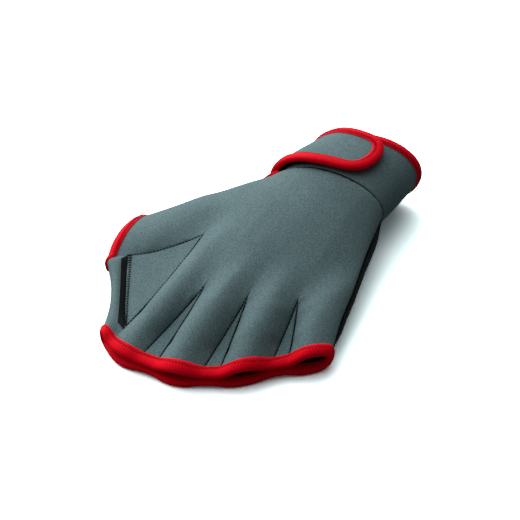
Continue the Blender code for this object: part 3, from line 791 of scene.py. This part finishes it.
def ring_point(angle, lift, along):
    """A point on the wrist at this angle, lifted off it and along the arm from the seam."""
    turn = math.cos(angle)
    taper = WRIST_TAPER * smooth(along / CUFF_LENGTH) * (1.0 - turn) / 2
    across = WRIST_CENTRE + (WRIST_WIDTH / 2 + lift) * turn + taper
    height = FLOOR + WRIST_HEIGHT / 2 + (WRIST_HEIGHT / 2 + lift) * math.sin(angle)
    return Vector((across, along, height))


def cuff_point(angle, row):
    """The wristband's face, its rows running from 0 at the seam to 3 at the wrist's edge."""
    start = SEAM_SLANT * math.cos(angle) - SEAM_TUCK
    end = CUFF_LENGTH + WRIST_SLANT * math.cos(angle)
    taped = end - TAPED_LENGTH
    along = lerp(start, taped, row / 2.0) if row <= 2.0 else lerp(taped, end, row - 2.0)
    bulge = CUFF_BULGE * math.sin(math.pi * (along - start) / (end - start))
    return ring_point(angle, bulge, along)


cuff_angles = [math.radians(angle) for angle in steps_between(CUFF_END_DEG, CUFF_START_DEG, 90)]
cuff_finish = knitted_cloth("charcoal_cuff_cloth", CUFF_COLOUR)
cuff_mesh = bmesh.new()
cuff_rows = [row / 5 for row in range(15, 1, -1)] + [0.28, 0.18, 0.12, 0.08, 0.04, 0.0]
add_cloth(cuff_mesh, cuff_angles, cuff_rows, cuff_point)
cuff_start = [cuff_point(angle, 0.0) for angle in cuff_angles]
turn_down(cuff_mesh, [cuff_start], WRIST_SEAM_REACH, CUFF_SEAM_DROP)
cuff_cloth = finish_piece(
    "cuff_cloth", cuff_mesh, [cuff_finish, lining_finish], ["cuff"], WALL
)


# The strap. A wide grey strap is sewn to the wristband under the thumb side, wraps over it and
# ends in a rounded tab on the back of the wrist.
STRAP_WIDTH = 0.0395
STRAP_LIFT = 0.0048
STRAP_TIP_DEG = 63.5
STRAP_TAB_DEG = 26.0
STRAP_TIP_RADIUS = 0.0185
STRAP_EDGE_FROM_SEAM = 0.0022
STRAP_FLARE = 0.0028
STRAP_SWELL = 0.0014
STRAP_TIP_POWER = 2.3
# the angle where a change starts, and over how much it goes
STRAP_FLARES_DEG = (82.0, 28.0)
STRAP_SWELLS_DEG = (85.0, 35.0)
STRAP_COLOUR = (0.128, 0.200, 0.212)

strap_root = math.radians(360.0 + CUFF_START_DEG) - SEAM_GAP / (WRIST_HEIGHT / 2)


def strap_point(angle, along):
    start = math.radians(CUFF_END_DEG + 10.0)
    swell = STRAP_SWELL * ramp(math.degrees(angle), *STRAP_SWELLS_DEG)
    lift = (STRAP_LIFT + swell) * (1.0 - smooth((angle - start) / (strap_root - start)))
    return ring_point(angle, lift, along)


def arc_from_tip(angle):
    """Length round the wrist from the strap's tip to an angle."""
    tip = math.radians(STRAP_TIP_DEG)
    width, height = WRIST_WIDTH / 2 + STRAP_LIFT, WRIST_HEIGHT / 2 + STRAP_LIFT
    total = 0.0
    for i in range(16):
        middle = lerp(tip, angle, (i + 0.5) / 16)
        total += math.hypot(width * math.sin(middle), height * math.cos(middle)) / 16
    return total * (angle - tip)


def strap_edges(angle):
    """The strap's lower and upper edges along the arm at an angle."""
    s = arc_from_tip(angle)
    middle = STRAP_EDGE_FROM_SEAM + STRAP_WIDTH / 2
    tip = max(0.0, 1.0 - s / STRAP_TIP_RADIUS)
    half = STRAP_WIDTH / 2 * (1.0 - tip**STRAP_TIP_POWER) ** (1.0 / STRAP_TIP_POWER)
    flare = STRAP_FLARE * ramp(math.degrees(angle), *STRAP_FLARES_DEG)
    return middle - half - flare, middle + half


strap_tab_end = STRAP_TIP_DEG + STRAP_TAB_DEG
strap_near = [
    lerp(STRAP_TIP_DEG, strap_tab_end, share**1.7) for share in steps_between(0.03, 1.0, 22)
]
strap_rest = steps_between(strap_tab_end, math.degrees(strap_root), 44)[1:]
strap_angles = [math.radians(angle) for angle in strap_near + strap_rest]


def place_strap(angle, share):
    low, high = strap_edges(angle)
    return strap_point(angle, lerp(high, low, share))


strap_finish = knitted_cloth("charcoal_strap_cloth", STRAP_COLOUR)
strap_mesh = bmesh.new()
add_cloth(strap_mesh, list(reversed(strap_angles)), cosine_steps(20), place_strap)
strap_cloth = finish_piece(
    "strap_cloth", strap_mesh, [strap_finish, lining_finish], ["strap"], WALL
)


# The fastener. A square of black hook tape is sewn under the strap's tab and grips a loop patch on
# the wristband. Both lie hidden between the two, so they are one thin pad here.
PATCH_START_DEG = 84.0
PATCH_END_DEG = 118.0
PATCH_MARGIN = 0.0074
PATCH_COLOUR = (0.010, 0.010, 0.011)

patch_far = STRAP_WIDTH - PATCH_MARGIN
patch_mesh = bmesh.new()
add_cloth(
    patch_mesh,
    [math.radians(angle) for angle in steps_between(PATCH_END_DEG, PATCH_START_DEG, 16)],
    steps_between(STRAP_EDGE_FROM_SEAM + patch_far, STRAP_EDGE_FROM_SEAM + PATCH_MARGIN, 14),
    lambda angle, along: ring_point(angle, STRAP_LIFT - WALL - SEAM_GAP, along),
)
patch_finish = knitted_cloth("black_hook_tape", PATCH_COLOUR, 0.8, 3.0)
patch_height = STRAP_LIFT - WALL - 2 * SEAM_GAP - CUFF_BULGE
hook_pad = finish_piece(
    "hook_pad", patch_mesh, [patch_finish], ["hook_patch"], patch_height
)


# The red tape. Stretch tape with a fine rib is folded over each open edge and sewn through, so it
# stands up in a plump round roll. One loop runs round the four finger openings, one round the
# thumb's, and open lengths bind the wristband and the strap.
TAPE_COLOUR = (0.92, 0.0008, 0.0140)
TAPE_WIDTH = 0.0062
TAPE_PLUMP = 0.00135
TAPE_NOSE = 0.0018
TAPE_EDGE = 0.0004
TAPE_CLEAR = 0.00022
TAPE_STEP = 0.0011
TAPE_GATHERS = [(0.07, 420.0, 3.7), (0.05, 120.0, 9.1)]
TAPE_EASE_TIMES = 8
TAPE_EASE_MOST = 0.0009
THUMB_EASE_TIMES = 1
THUMB_TAPE_NARROWING = 0.20
THUMB_TAPE_NARROWS = (0.55, 0.45)
THUMB_TAPE_TAPER = 0.50
STITCH_LEGS = (3, 5)
STITCH_PITCH = 0.0017
STITCH_RADIUS = 0.00026
# The red thread is darker than the tape: partly its own colour, partly painted shade of the stitch
# grooves along the tape
THREAD_AND_GROOVE_SHADE_COLOUR = (0.40, 0.0008, 0.0060)
RIB_SCALE = 0.22
RIB_DEPTH = 0.00020
THREAD_DEPTH = 0.0001
# TAPE_DARK and TAPE_LIGHT span the painted shade in the tape's rib grooves and the painted light on
# the rib tops, mixed with random thread tone
TAPE_DARK = 0.74
TAPE_LIGHT = 1.16
PLY_SCALE = 2600.0
PLY_DARK = 0.7
PLY_LIGHT = 1.3
TAPE_LEGS = [0.0, 0.16, 0.34, 0.52, 0.70, 0.86, 1.0]
TAPE_SHAPE = [0.90, 1.08, 1.18, 1.15, 0.98, 0.68, 0.26]


def ribbed_tape(name, colour):
    """Stretch binding tape: fine ribs across its width, with painted shade in the rib grooves and
    painted light on the rib tops, and a soft shine.
    """
    made, tree, shader = new_finish(name)
    place = add_node(tree, "TexCoord", {})
    ribs = add_node(
        tree,
        "TexWave",
        {"Vector": place.outputs["UV"], "Scale": RIB_SCALE, "Distortion": 0.4},
        bands_direction="X",
    ).outputs["Fac"]
    threads = add_node(
        tree, "TexNoise", {"Vector": place.outputs["Object"], "Scale": 900.0, "Detail": 2.0}
    ).outputs["Fac"]
    # painted shade in the rib grooves and painted light on the rib tops, taken from the same ribs as
    # the bump, plus random thread tone
    rib_shade_and_thread_tone = add_node(tree, "Math", {0: ribs, 1: 0.6, 2: threads}, operation="MULTIPLY_ADD")
    rib_bump = bumped(tree, ribs, RIB_DEPTH, 0.6)
    fill_sockets(
        shader,
        {
            "Base Color": shaded(tree, colour, TAPE_DARK, TAPE_LIGHT, rib_shade_and_thread_tone.outputs["Value"]),
            "Normal": bumped(tree, threads, THREAD_DEPTH, 0.5, rib_bump),
            "Roughness": 0.55,
            "Specular IOR Level": 0.04,
        },
    )
    return made


def lengths_along(points):
    """The length along a line up to each of its points."""
    lengths = [0.0]
    for a, b in zip(points, points[1:]):
        lengths.append(lengths[-1] + (b - a).length)
    return lengths


def even_offsets(grid, closed):
    """Outward unit vectors at a grid's points, each face counted by its angle there."""
    count, depth = len(grid), len(grid[0])
    sums = [[[] for _ in range(depth)] for _ in range(count)]
    for i in range(count if closed else count - 1):
        j = (i + 1) % count
        for k in range(depth - 1):
            ring = [(i, k), (i, k + 1), (j, k + 1), (j, k)]
            near, inner, far, outer = (grid[a][b] for a, b in ring)
            normal = (far - near).cross(inner - outer).normalized()
            for m in range(4):
                here = grid[ring[m][0]][ring[m][1]]
                before, after = (grid[a][b] for a, b in (ring[m - 1], ring[(m + 1) % 4]))
                turn = (before - here).angle(after - here, 0.0)
                sums[ring[m][0]][ring[m][1]].append((normal, turn))
    offsets = []
    for line in sums:
        sums_here = [sum((normal * turn for normal, turn in sides), Vector()) for sides in line]
        offsets.append([total.normalized() for total in sums_here])
    return offsets


def eased(rows, closed, times):
    """Evens out vectors along the tape, so that it doesn't step where channels and webs meet."""
    for _ in range(times):
        before = [rows[-1] if closed else rows[0], *rows[:-1]]
        after = [*rows[1:], rows[0] if closed else rows[-1]]
        rows = [
            [(a + b * 2.0 + c) / 4.0 for a, b, c in zip(*lines)]
            for lines in zip(before, rows, after)
        ]
    return rows


def point_along(points, lengths, length):
    """The point at a length along a line, whose points lie at the given lengths."""
    i = min(max(1, bisect.bisect_left(lengths, length)), len(points) - 1)
    share = (length - lengths[i - 1]) / max(1e-9, lengths[i] - lengths[i - 1])
    return points[i - 1].lerp(points[i], share)


def even_lines(grid, closed, times):
    """The tape's lines again, at even steps along its edge and eased a little from line to line."""
    ring = grid + [grid[0]] if closed else grid
    lengths = lengths_along([line[0] for line in ring])
    count = round(lengths[-1] / TAPE_STEP)
    steps = [lengths[-1] * i / count for i in range(count if closed else count + 1)]
    depth = range(len(ring[0]))
    even = [
        [point_along([line[k] for line in ring], lengths, step) for k in depth] for step in steps
    ]
    soft = eased(even, closed, times)
    for line, soft_line in zip(even, soft):
        for k in depth:
            move = soft_line[k] - line[k]
            line[k] = line[k] + move * min(1.0, TAPE_EASE_MOST / max(1e-9, move.length))
    return even


def tape_ring(points, offsets, plump, clear):
    """The tape's section round a panel's edge: over it, round its end and back under it."""
    out = (points[0] - points[1]).normalized()
    count = len(TAPE_LEGS)
    lifts = [max(TAPE_EDGE, plump * share) for share in TAPE_SHAPE]
    top = [points[k] + offsets[k] * lifts[k] for k in reversed(range(1, count))]
    bottom = [points[k] - offsets[k] * (WALL + lifts[k]) for k in range(1, count)]
    nose = []
    for i in range(5):
        turn = math.pi * (0.5 - i / 4)
        half = WALL / 2 + plump * TAPE_SHAPE[0]
        middle = points[0] - offsets[0] * WALL / 2
        bulge = TAPE_NOSE * plump / TAPE_PLUMP
        nose.append(middle + offsets[0] * half * math.sin(turn) + out * bulge * math.cos(turn))
    inner_top = [points[k] + offsets[k] * clear for k in reversed(range(1, count))]
    inner_bottom = [points[k] - offsets[k] * (WALL + clear) for k in range(1, count)]
    inner_nose = [points[0] + out * clear - offsets[0] * WALL * i / 4 for i in range(5)]
    outer = top + nose + bottom
    inner = inner_top + inner_nose + inner_bottom
    return outer, inner


stitch_shape = bmesh.new()
bmesh.ops.create_uvsphere(stitch_shape, u_segments=6, v_segments=4, radius=1.0)
stitch_data = bpy.data.meshes.new("stitch")
stitch_shape.to_mesh(stitch_data)
stitch_shape.free()


def add_stitch(mesh, start, end, radius):
    """One stitch: a short length of thread that bulges between its two needle holes."""
    way = end - start
    turn = way.to_track_quat("Z", "Y").to_matrix().to_4x4()
    shape = Matrix.Diagonal((radius, radius, way.length / 2, 1.0))
    made = stitch_data.copy()
    made.transform(Matrix.Translation((start + end) / 2 + HAND_ORIGIN) @ turn @ shape)
    mesh.from_mesh(made)
    bpy.data.meshes.remove(made)


def zigzag(mesh, near, far, lengths, pitch, radius):
    """Stitches to and fro between two lines of points that run side by side."""
    steps = math.floor(lengths[-1] / pitch)
    for i in range(steps):
        turn = point_along(far, lengths, (i + 0.5) * lengths[-1] / steps)
        for end in (i, i + 1):
            add_stitch(mesh, point_along(near, lengths, end * lengths[-1] / steps), turn, radius)


def build_tape(name, grid, closed, finish, nodes, times=TAPE_EASE_TIMES):
    """Tape folded over the edge that the grid's lines run inwards from."""
    grid = even_lines(grid, closed, times)
    offsets = eased(even_offsets(grid, closed), closed, 1)
    offsets = [[offset.normalized() for offset in line] for line in offsets]
    count = len(grid)
    lengths = lengths_along([line[0] for line in [*grid, grid[0]]])
    rings = []
    for i in range(count):
        gather = 1.0
        for size, often, place in TAPE_GATHERS:
            gather += size * noise.noise(Vector((lengths[i] * often, place, 0.0)))
        rings.append(tape_ring(grid[i], offsets[i], TAPE_PLUMP * gather, TAPE_CLEAR))
    stitch_lengths = list(lengths)
    sections = [outer + list(reversed(inner)) for outer, inner in rings]
    if not closed:
        sections = [rings[0][1] + list(reversed(rings[0][1]))] + sections
        sections.append(rings[-1][1] + list(reversed(rings[-1][1])))
        lengths = [0.0] + lengths
    size, total = len(sections[0]), len(sections)
    rows = range(total + 1 if closed else total)
    mesh = bmesh.new()
    layer = mesh.loops.layers.uv.new("along_the_tape")
    spots = add_cloth(mesh, range(size + 1), rows, lambda k, i: sections[i % total][k % size])
    for face in mesh.faces:
        for loop in face.loops:
            k, i = spots[loop.vert]
            loop[layer].uv = (lengths[min(i, len(lengths) - 1)] * 1000.0, k / size * 10.0)
    bmesh.ops.remove_doubles(mesh, verts=mesh.verts, dist=1e-7)
    tape = finish_piece(name, mesh, [finish], nodes)
    thread = bmesh.new()
    outers = [outer for outer, inner in rings] + ([rings[0][0]] if closed else [])
    legs = len(TAPE_LEGS)
    for near, far in ([legs - 1 - k for k in STITCH_LEGS], [legs + 3 + k for k in STITCH_LEGS]):
        sides = [outer[near] for outer in outers], [outer[far] for outer in outers]
        zigzag(thread, *sides, stitch_lengths[: len(outers)], STITCH_PITCH, STITCH_RADIUS)
    stitches = finish_piece(name + "_stitches", thread, [thread_and_groove_shade_finish], [], rounding=0)


def taped_line(place, end=TAPED_LENGTH, width=TAPE_WIDTH):
    """Points inwards from an open end of this length, under the tape and one beyond it."""
    depths = [share * width for share in TAPE_LEGS] + [width + TAPED_LENGTH - TAPE_WIDTH]
    return [place(3.0 - depth / end) for depth in depths]


def channel_lines(surface, channel, steps):
    lines = []
    for t in steps:
        length = end_length((channel, False), (channel, True), t)
        narrowing = 0.0 if channel else THUMB_TAPE_NARROWING * ramp(t, *THUMB_TAPE_NARROWS)
        width = TAPE_WIDTH * (1.0 - narrowing)
        lines.append(taped_line(lambda row, t=t: surface(channel, t, row), length, width))
    return lines


def web_lines(surface, web, steps):
    return [
        taped_line(
            lambda row, t=t: surface(web, t, row), end_length((web, True), (web + 1, False), t)
        )
        for t in steps
    ]


def strip_lines(surface, steps, at_index):
    """Lines inwards from one end of the strip round the thumb's web."""
    start, end = (1.0, 1.0 - WEB_EDGE_ENDS) if at_index else (0.0, WEB_EDGE_ENDS)
    edge = (1, False) if at_index else (0, True)
    outer = (web_edge_plan(0.0, end) - web_edge_plan(0.0, start)).length
    lines = []
    for t in steps:
        length = lerp(outer, end_length(edge, edge, 0.0), t)
        taper = 1.0 if at_index else lerp(THUMB_TAPE_TAPER, 1.0 - THUMB_TAPE_NARROWING, t)
        lines.append(
            taped_line(
                lambda row, t=t: surface(t, lerp(end, start, row - 2.0)), length, TAPE_WIDTH * taper
            )
        )
    return lines


def sewing_thread(name, colour):
    """Twisted polyester thread with a soft shine."""
    made, tree, shader = new_finish(name)
    place = add_node(tree, "TexCoord", {}).outputs["Object"]
    plies = add_node(tree, "TexNoise", {"Vector": place, "Scale": PLY_SCALE}).outputs["Fac"]
    fill_sockets(
        shader,
        {
            "Base Color": shaded(tree, colour, PLY_DARK, PLY_LIGHT, plies),
            "Roughness": 0.5,
            "Specular IOR Level": 0.06,
        },
    )
    return made


tape_finish = ribbed_tape("red_stretch_tape", TAPE_COLOUR)
# red stitch thread, darkened so that its stitches also paint the shade of the stitch grooves
thread_and_groove_shade_finish = sewing_thread("red_thread_with_groove_shade", THREAD_AND_GROOVE_SHADE_COLOUR)
STRIP_TAPE_STEPS = [0.0, 0.14, 0.28, 0.42, 0.57, 0.72, 0.86]
top_lines, bottom_lines = [], []
for surface, web_surface, found in (
    (back_point, web_point, top_lines),
    (palm_point, palm_web_point, bottom_lines),
):
    for channel in range(1, 5):
        found += channel_lines(surface, channel, cosine_steps(14))
        if channel < 4:
            found += web_lines(web_surface, channel, [0.33, 0.67])
finger_grid = [
    *strip_lines(web_edge_point, STRIP_TAPE_STEPS, True),
    *top_lines,
    *reversed(bottom_lines),
    *reversed(strip_lines(palm_edge_point, STRIP_TAPE_STEPS, True)),
]
build_tape(
    "finger_tape", finger_grid, True, tape_finish, ["finger_binding"]
)
thumb_grid = [
    *channel_lines(back_point, 0, cosine_steps(14)),
    *reversed(strip_lines(web_edge_point, STRIP_TAPE_STEPS, False)),
    *strip_lines(palm_edge_point, STRIP_TAPE_STEPS, False),
    *reversed(channel_lines(palm_point, 0, cosine_steps(14))),
]
build_tape(
    "thumb_tape",
    thumb_grid,
    True,
    tape_finish,
    ["thumb_binding"],
    THUMB_EASE_TIMES,
)
wrist_grid = [
    taped_line(lambda row, a=angle: cuff_point(a, row)) for angle in reversed(cuff_angles)
]
build_tape(
    "wrist_tape", wrist_grid, False, tape_finish, ["wrist_binding"]
)
strap_outline = [(angle, strap_edges(angle)[0]) for angle in reversed(strap_angles)]
strap_outline += [(angle, strap_edges(angle)[1]) for angle in strap_angles]
strap_grid = []
for i, (angle, along) in enumerate(strap_outline):
    before, after = strap_outline[max(0, i - 1)], strap_outline[min(len(strap_outline) - 1, i + 1)]
    spread = (arc_from_tip(angle + 0.01) - arc_from_tip(angle)) / 0.01
    inwards = Vector((-(after[0] - before[0]) * spread, after[1] - before[1])).normalized()
    if i in (0, len(strap_outline) - 1):
        inwards = Vector((1.0 if i == 0 else -1.0, 0.0))
    depths = [share * TAPE_WIDTH for share in TAPE_LEGS] + [TAPED_LENGTH]
    strap_grid.append(
        [
            strap_point(angle + inwards.y * depth / spread, along + inwards.x * depth)
            for depth in depths
        ]
    )
build_tape(
    "strap_tape",
    strap_grid,
    False,
    tape_finish,
    ["strap_binding"],
)


# The black stitches. Overlock stitches in thick black thread close the cut edge of the thumb's web
# over the rolled strip, on a flat black band that is the overlock's body and also painted shade on
# the strip's flank beside the seam. Short stitches of it show along the webs' seams, and a black
# cord sunk in the wristband's seam is its thread and also painted shade in that seam's groove.
BLACK_THREAD_COLOUR = (0.006, 0.008, 0.009)
OVERLOCK_PITCH = 0.0022
OVERLOCK_RADIUS = 0.00048
# where the flat black band starts on the strip: the overlock's body there, and painted shade on the
# strip's flank
OVERLOCK_SHADE_BAND_START = 0.67
OVERLOCK_REACH = 0.075
OVERLOCK_NARROWING = 0.6
OVERLOCK_LIFT = 0.00025
TOOTH_LIFT = 0.0008
SEAM_STEPS = 48
WEB_STITCH_START = 1.04
WEB_STITCH_END = 2.2
THUMB_WEB_STITCH_END = 1.98
WEB_STITCH_PITCH = 0.0021
WEB_STITCH_LENGTH = 0.0015
WEB_STITCH_RADIUS = 0.0003
# the black cord in the wristband's seam: its thread, and painted shade in the seam's groove
SEAM_THREAD_AND_SHADE_RADIUS = 0.0009
SEAM_THREAD_AND_SHADE_DEPTH = 0.0014

black_thread_finish = sewing_thread("black_thread", BLACK_THREAD_COLOUR)
overlock_and_shade_mesh = bmesh.new()
seam_shares = steps_between(WEB_EDGE_ENDS, 1.0 - WEB_EDGE_ENDS, SEAM_STEPS)
lift = Vector((0.0, 0.0, OVERLOCK_LIFT))
shade_band_inner = [web_edge_point(OVERLOCK_SHADE_BAND_START, share) + lift for share in seam_shares]
seam_middle = [web_edge_point(1.0, share) + lift for share in seam_shares]
tooth_lift = Vector((0.0, 0.0, TOOTH_LIFT))
seam_outer = [
    web_point(0, t, 2.0 - OVERLOCK_REACH * lerp(1.0, OVERLOCK_NARROWING, t)) + tooth_lift
    for t in steps_between(0.0, 1.0, SEAM_STEPS)
]
seam_lengths = lengths_along(seam_middle)
stitch_count = math.floor(seam_lengths[-1] / OVERLOCK_PITCH)
for i in range(stitch_count):
    here = (i + 0.5) / stitch_count * seam_lengths[-1]
    inner_end = point_along(seam_middle, seam_lengths, here - OVERLOCK_PITCH / 2)
    outer_end = point_along(seam_outer, seam_lengths, here + OVERLOCK_PITCH / 4)
    add_stitch(overlock_and_shade_mesh, inner_end, outer_end, OVERLOCK_RADIUS)
# A flat black band from the strip's flank down to the seam: the black overlock's body, and painted
# shade on the strip's flank beside the seam
add_cloth(
    overlock_and_shade_mesh,
    [shade_band_inner, seam_middle],
    range(SEAM_STEPS + 1),
    lambda line, i: line[i] - lift / 2,
)
finish_piece(
    "thumb_web_stitches_and_shade", overlock_and_shade_mesh, [black_thread_finish], [], rounding=0
)

web_stitches = bmesh.new()
for web in range(4):
    for right in (False, True):
        end = WEB_STITCH_END if web else THUMB_WEB_STITCH_END
        side = 1.0 if right else 0.0
        rows = steps_between(WEB_STITCH_START, end, 80)
        seam = [web_point(web, side, row) + lift for row in rows]
        lengths = lengths_along(seam)
        for i in range(math.floor(lengths[-1] / WEB_STITCH_PITCH)):
            here = point_along(seam, lengths, i * WEB_STITCH_PITCH)
            ahead = point_along(seam, lengths, i * WEB_STITCH_PITCH + WEB_STITCH_LENGTH)
            add_stitch(web_stitches, here, ahead, WEB_STITCH_RADIUS)
finish_piece(
    "web_seam_stitches", web_stitches, [black_thread_finish], [], rounding=0
)

seam_mesh = bmesh.new()


# A black cord round the wristband's seam, below its surface: the seam's thread and painted shade in
# its groove
def place_seam_thread_and_shade(turn, angle):
    out = ring_point(angle, 1.0, 0.0) - ring_point(angle, 0.0, 0.0)
    point = ring_point(angle, -SEAM_THREAD_AND_SHADE_DEPTH, SEAM_SLANT * math.cos(angle))
    along = Vector((0.0, SEAM_THREAD_AND_SHADE_RADIUS * math.cos(turn), 0.0))
    return point + out * SEAM_THREAD_AND_SHADE_RADIUS * math.sin(turn) + along


add_cloth(seam_mesh, steps_between(0.0, 2.0 * math.pi, 8), cuff_angles, place_seam_thread_and_shade)
finish_piece(
    "wristband_seam_thread_and_shade", seam_mesh, [black_thread_finish], [], rounding=0
)


# The slit's tape. A short length of the same red tape binds the slit that runs out from under the
# strap at the thumb side of the wrist.
SLIT_WIDTH = 0.0034
SLIT_HEIGHT = 0.0016
SLIT_ACROSS = 0.44
SLIT_START = 0.03
SLIT_END = 0.27
SLIT_SINK = 0.0002

slit_mesh = bmesh.new()


def place_slit(turn, share):
    v = lerp(SLIT_START, SLIT_END, share)
    point = back_point(0, SLIT_ACROSS, v)
    along = back_point(0, SLIT_ACROSS, v + 0.01) - back_point(0, SLIT_ACROSS, v - 0.01)
    across = back_point(0, SLIT_ACROSS + 0.03, v) - back_point(0, SLIT_ACROSS - 0.03, v)
    out = across.cross(-along).normalized()
    half = out.cross(along).normalized() * SLIT_WIDTH / 2
    full = smooth(share / 0.06) * smooth((1.0 - share) / 0.5)
    rise = math.sin(turn) * SLIT_HEIGHT * (0.15 + 0.85 * full)
    return point + half * math.cos(turn) * (0.3 + 0.7 * full) + out * (rise - SLIT_SINK)


add_cloth(slit_mesh, steps_between(0.0, 2.0 * math.pi, 12), steps_between(0.0, 1.0, 16), place_slit)
bmesh.ops.remove_doubles(slit_mesh, verts=slit_mesh.verts, dist=1e-6)
bmesh.ops.holes_fill(slit_mesh, edges=slit_mesh.edges, sides=0)
bmesh.ops.recalc_face_normals(slit_mesh, faces=slit_mesh.faces)
finish_piece("slit_tape", slit_mesh, [tape_finish], ["slit_binding"])


# The set. The glove lies on a wide white table in a light tent that glows from above its thumb
# side and behind it, and is dim on the side of the little finger.
TABLE_SEEN = 3.2
TABLE_BOUNCE = 0.25
TABLE_TINT = (0.84, 0.985, 1.0)
TENT_GLOW = 3.6
TENT_FILL = 0.08
TENT_FOCUS = 3.0
LIGHT_FROM_LEFT = 0.46
LIGHT_FROM_BEHIND = 0.76
LIGHT_FROM_ABOVE = 0.55

view_level = Vector((view_back.x, view_back.y, 0.0)).normalized()
light_way = Vector((0.0, 0.0, 1.0)) * LIGHT_FROM_ABOVE
light_way -= view_right * LIGHT_FROM_LEFT + view_level * LIGHT_FROM_BEHIND
light_way.normalize()

table_mesh = bmesh.new()
bmesh.ops.create_grid(table_mesh, x_segments=1, y_segments=1, size=4.0)
table_data = bpy.data.meshes.new("table")
table_mesh.to_mesh(table_data)
table_mesh.free()
table = bpy.data.objects.new("table", table_data)
bpy.context.scene.collection.objects.link(table)
table_finish = bpy.data.materials.new("white_table")
table_finish.use_nodes = True
table_tree = table_finish.node_tree
table_tree.nodes.remove(table_tree.nodes["Principled BSDF"])
table_tone = add_node(
    table_tree,
    "Mix",
    {
        "A": (*[TABLE_BOUNCE * value for value in TABLE_TINT], 1.0),
        "B": (*[TABLE_SEEN * value for value in TABLE_TINT], 1.0),
        "Factor": add_node(table_tree, "LightPath", {}).outputs["Is Camera Ray"],
    },
    data_type="RGBA",
    clamp_factor=True,
)
table_face = add_node(table_tree, "BsdfDiffuse", {"Color": table_tone.outputs["Result"]})
fill_sockets(table_tree.nodes["Material Output"], {"Surface": table_face.outputs["BSDF"]})
table_data.materials.append(table_finish)

tent = bpy.data.worlds.new("light_tent")
bpy.context.scene.world = tent
tent.use_nodes = True
tent_tree = tent.node_tree
tent_place = add_node(tent_tree, "TexCoord", {}).outputs["Generated"]
facing = add_node(tent_tree, "VectorMath", {0: tent_place, 1: light_way}, operation="DOT_PRODUCT")
lit_half = add_node(tent_tree, "Math", {0: facing.outputs["Value"], 1: 0.0}, operation="MAXIMUM")
lobe = add_node(
    tent_tree, "Math", {0: lit_half.outputs["Value"], 1: TENT_FOCUS}, operation="POWER"
)
glow = add_node(
    tent_tree,
    "Math",
    {0: lobe.outputs["Value"], 1: TENT_GLOW, 2: TENT_FILL},
    operation="MULTIPLY_ADD",
)
tent_rays = add_node(tent_tree, "LightPath", {}).outputs["Is Camera Ray"]
seen = add_node(tent_tree, "Mix", {"A": glow.outputs["Value"], "B": 1.0, "Factor": tent_rays})
fill_sockets(
    tent_tree.nodes["Background"],
    {"Strength": seen.outputs["Result"], "Color": (1.0, 1.0, 1.0, 1.0)},
)

bpy.context.scene.view_settings.view_transform = "Standard"
bpy.context.scene.view_settings.look = "None"
bpy.context.scene.view_settings.exposure = 0.0
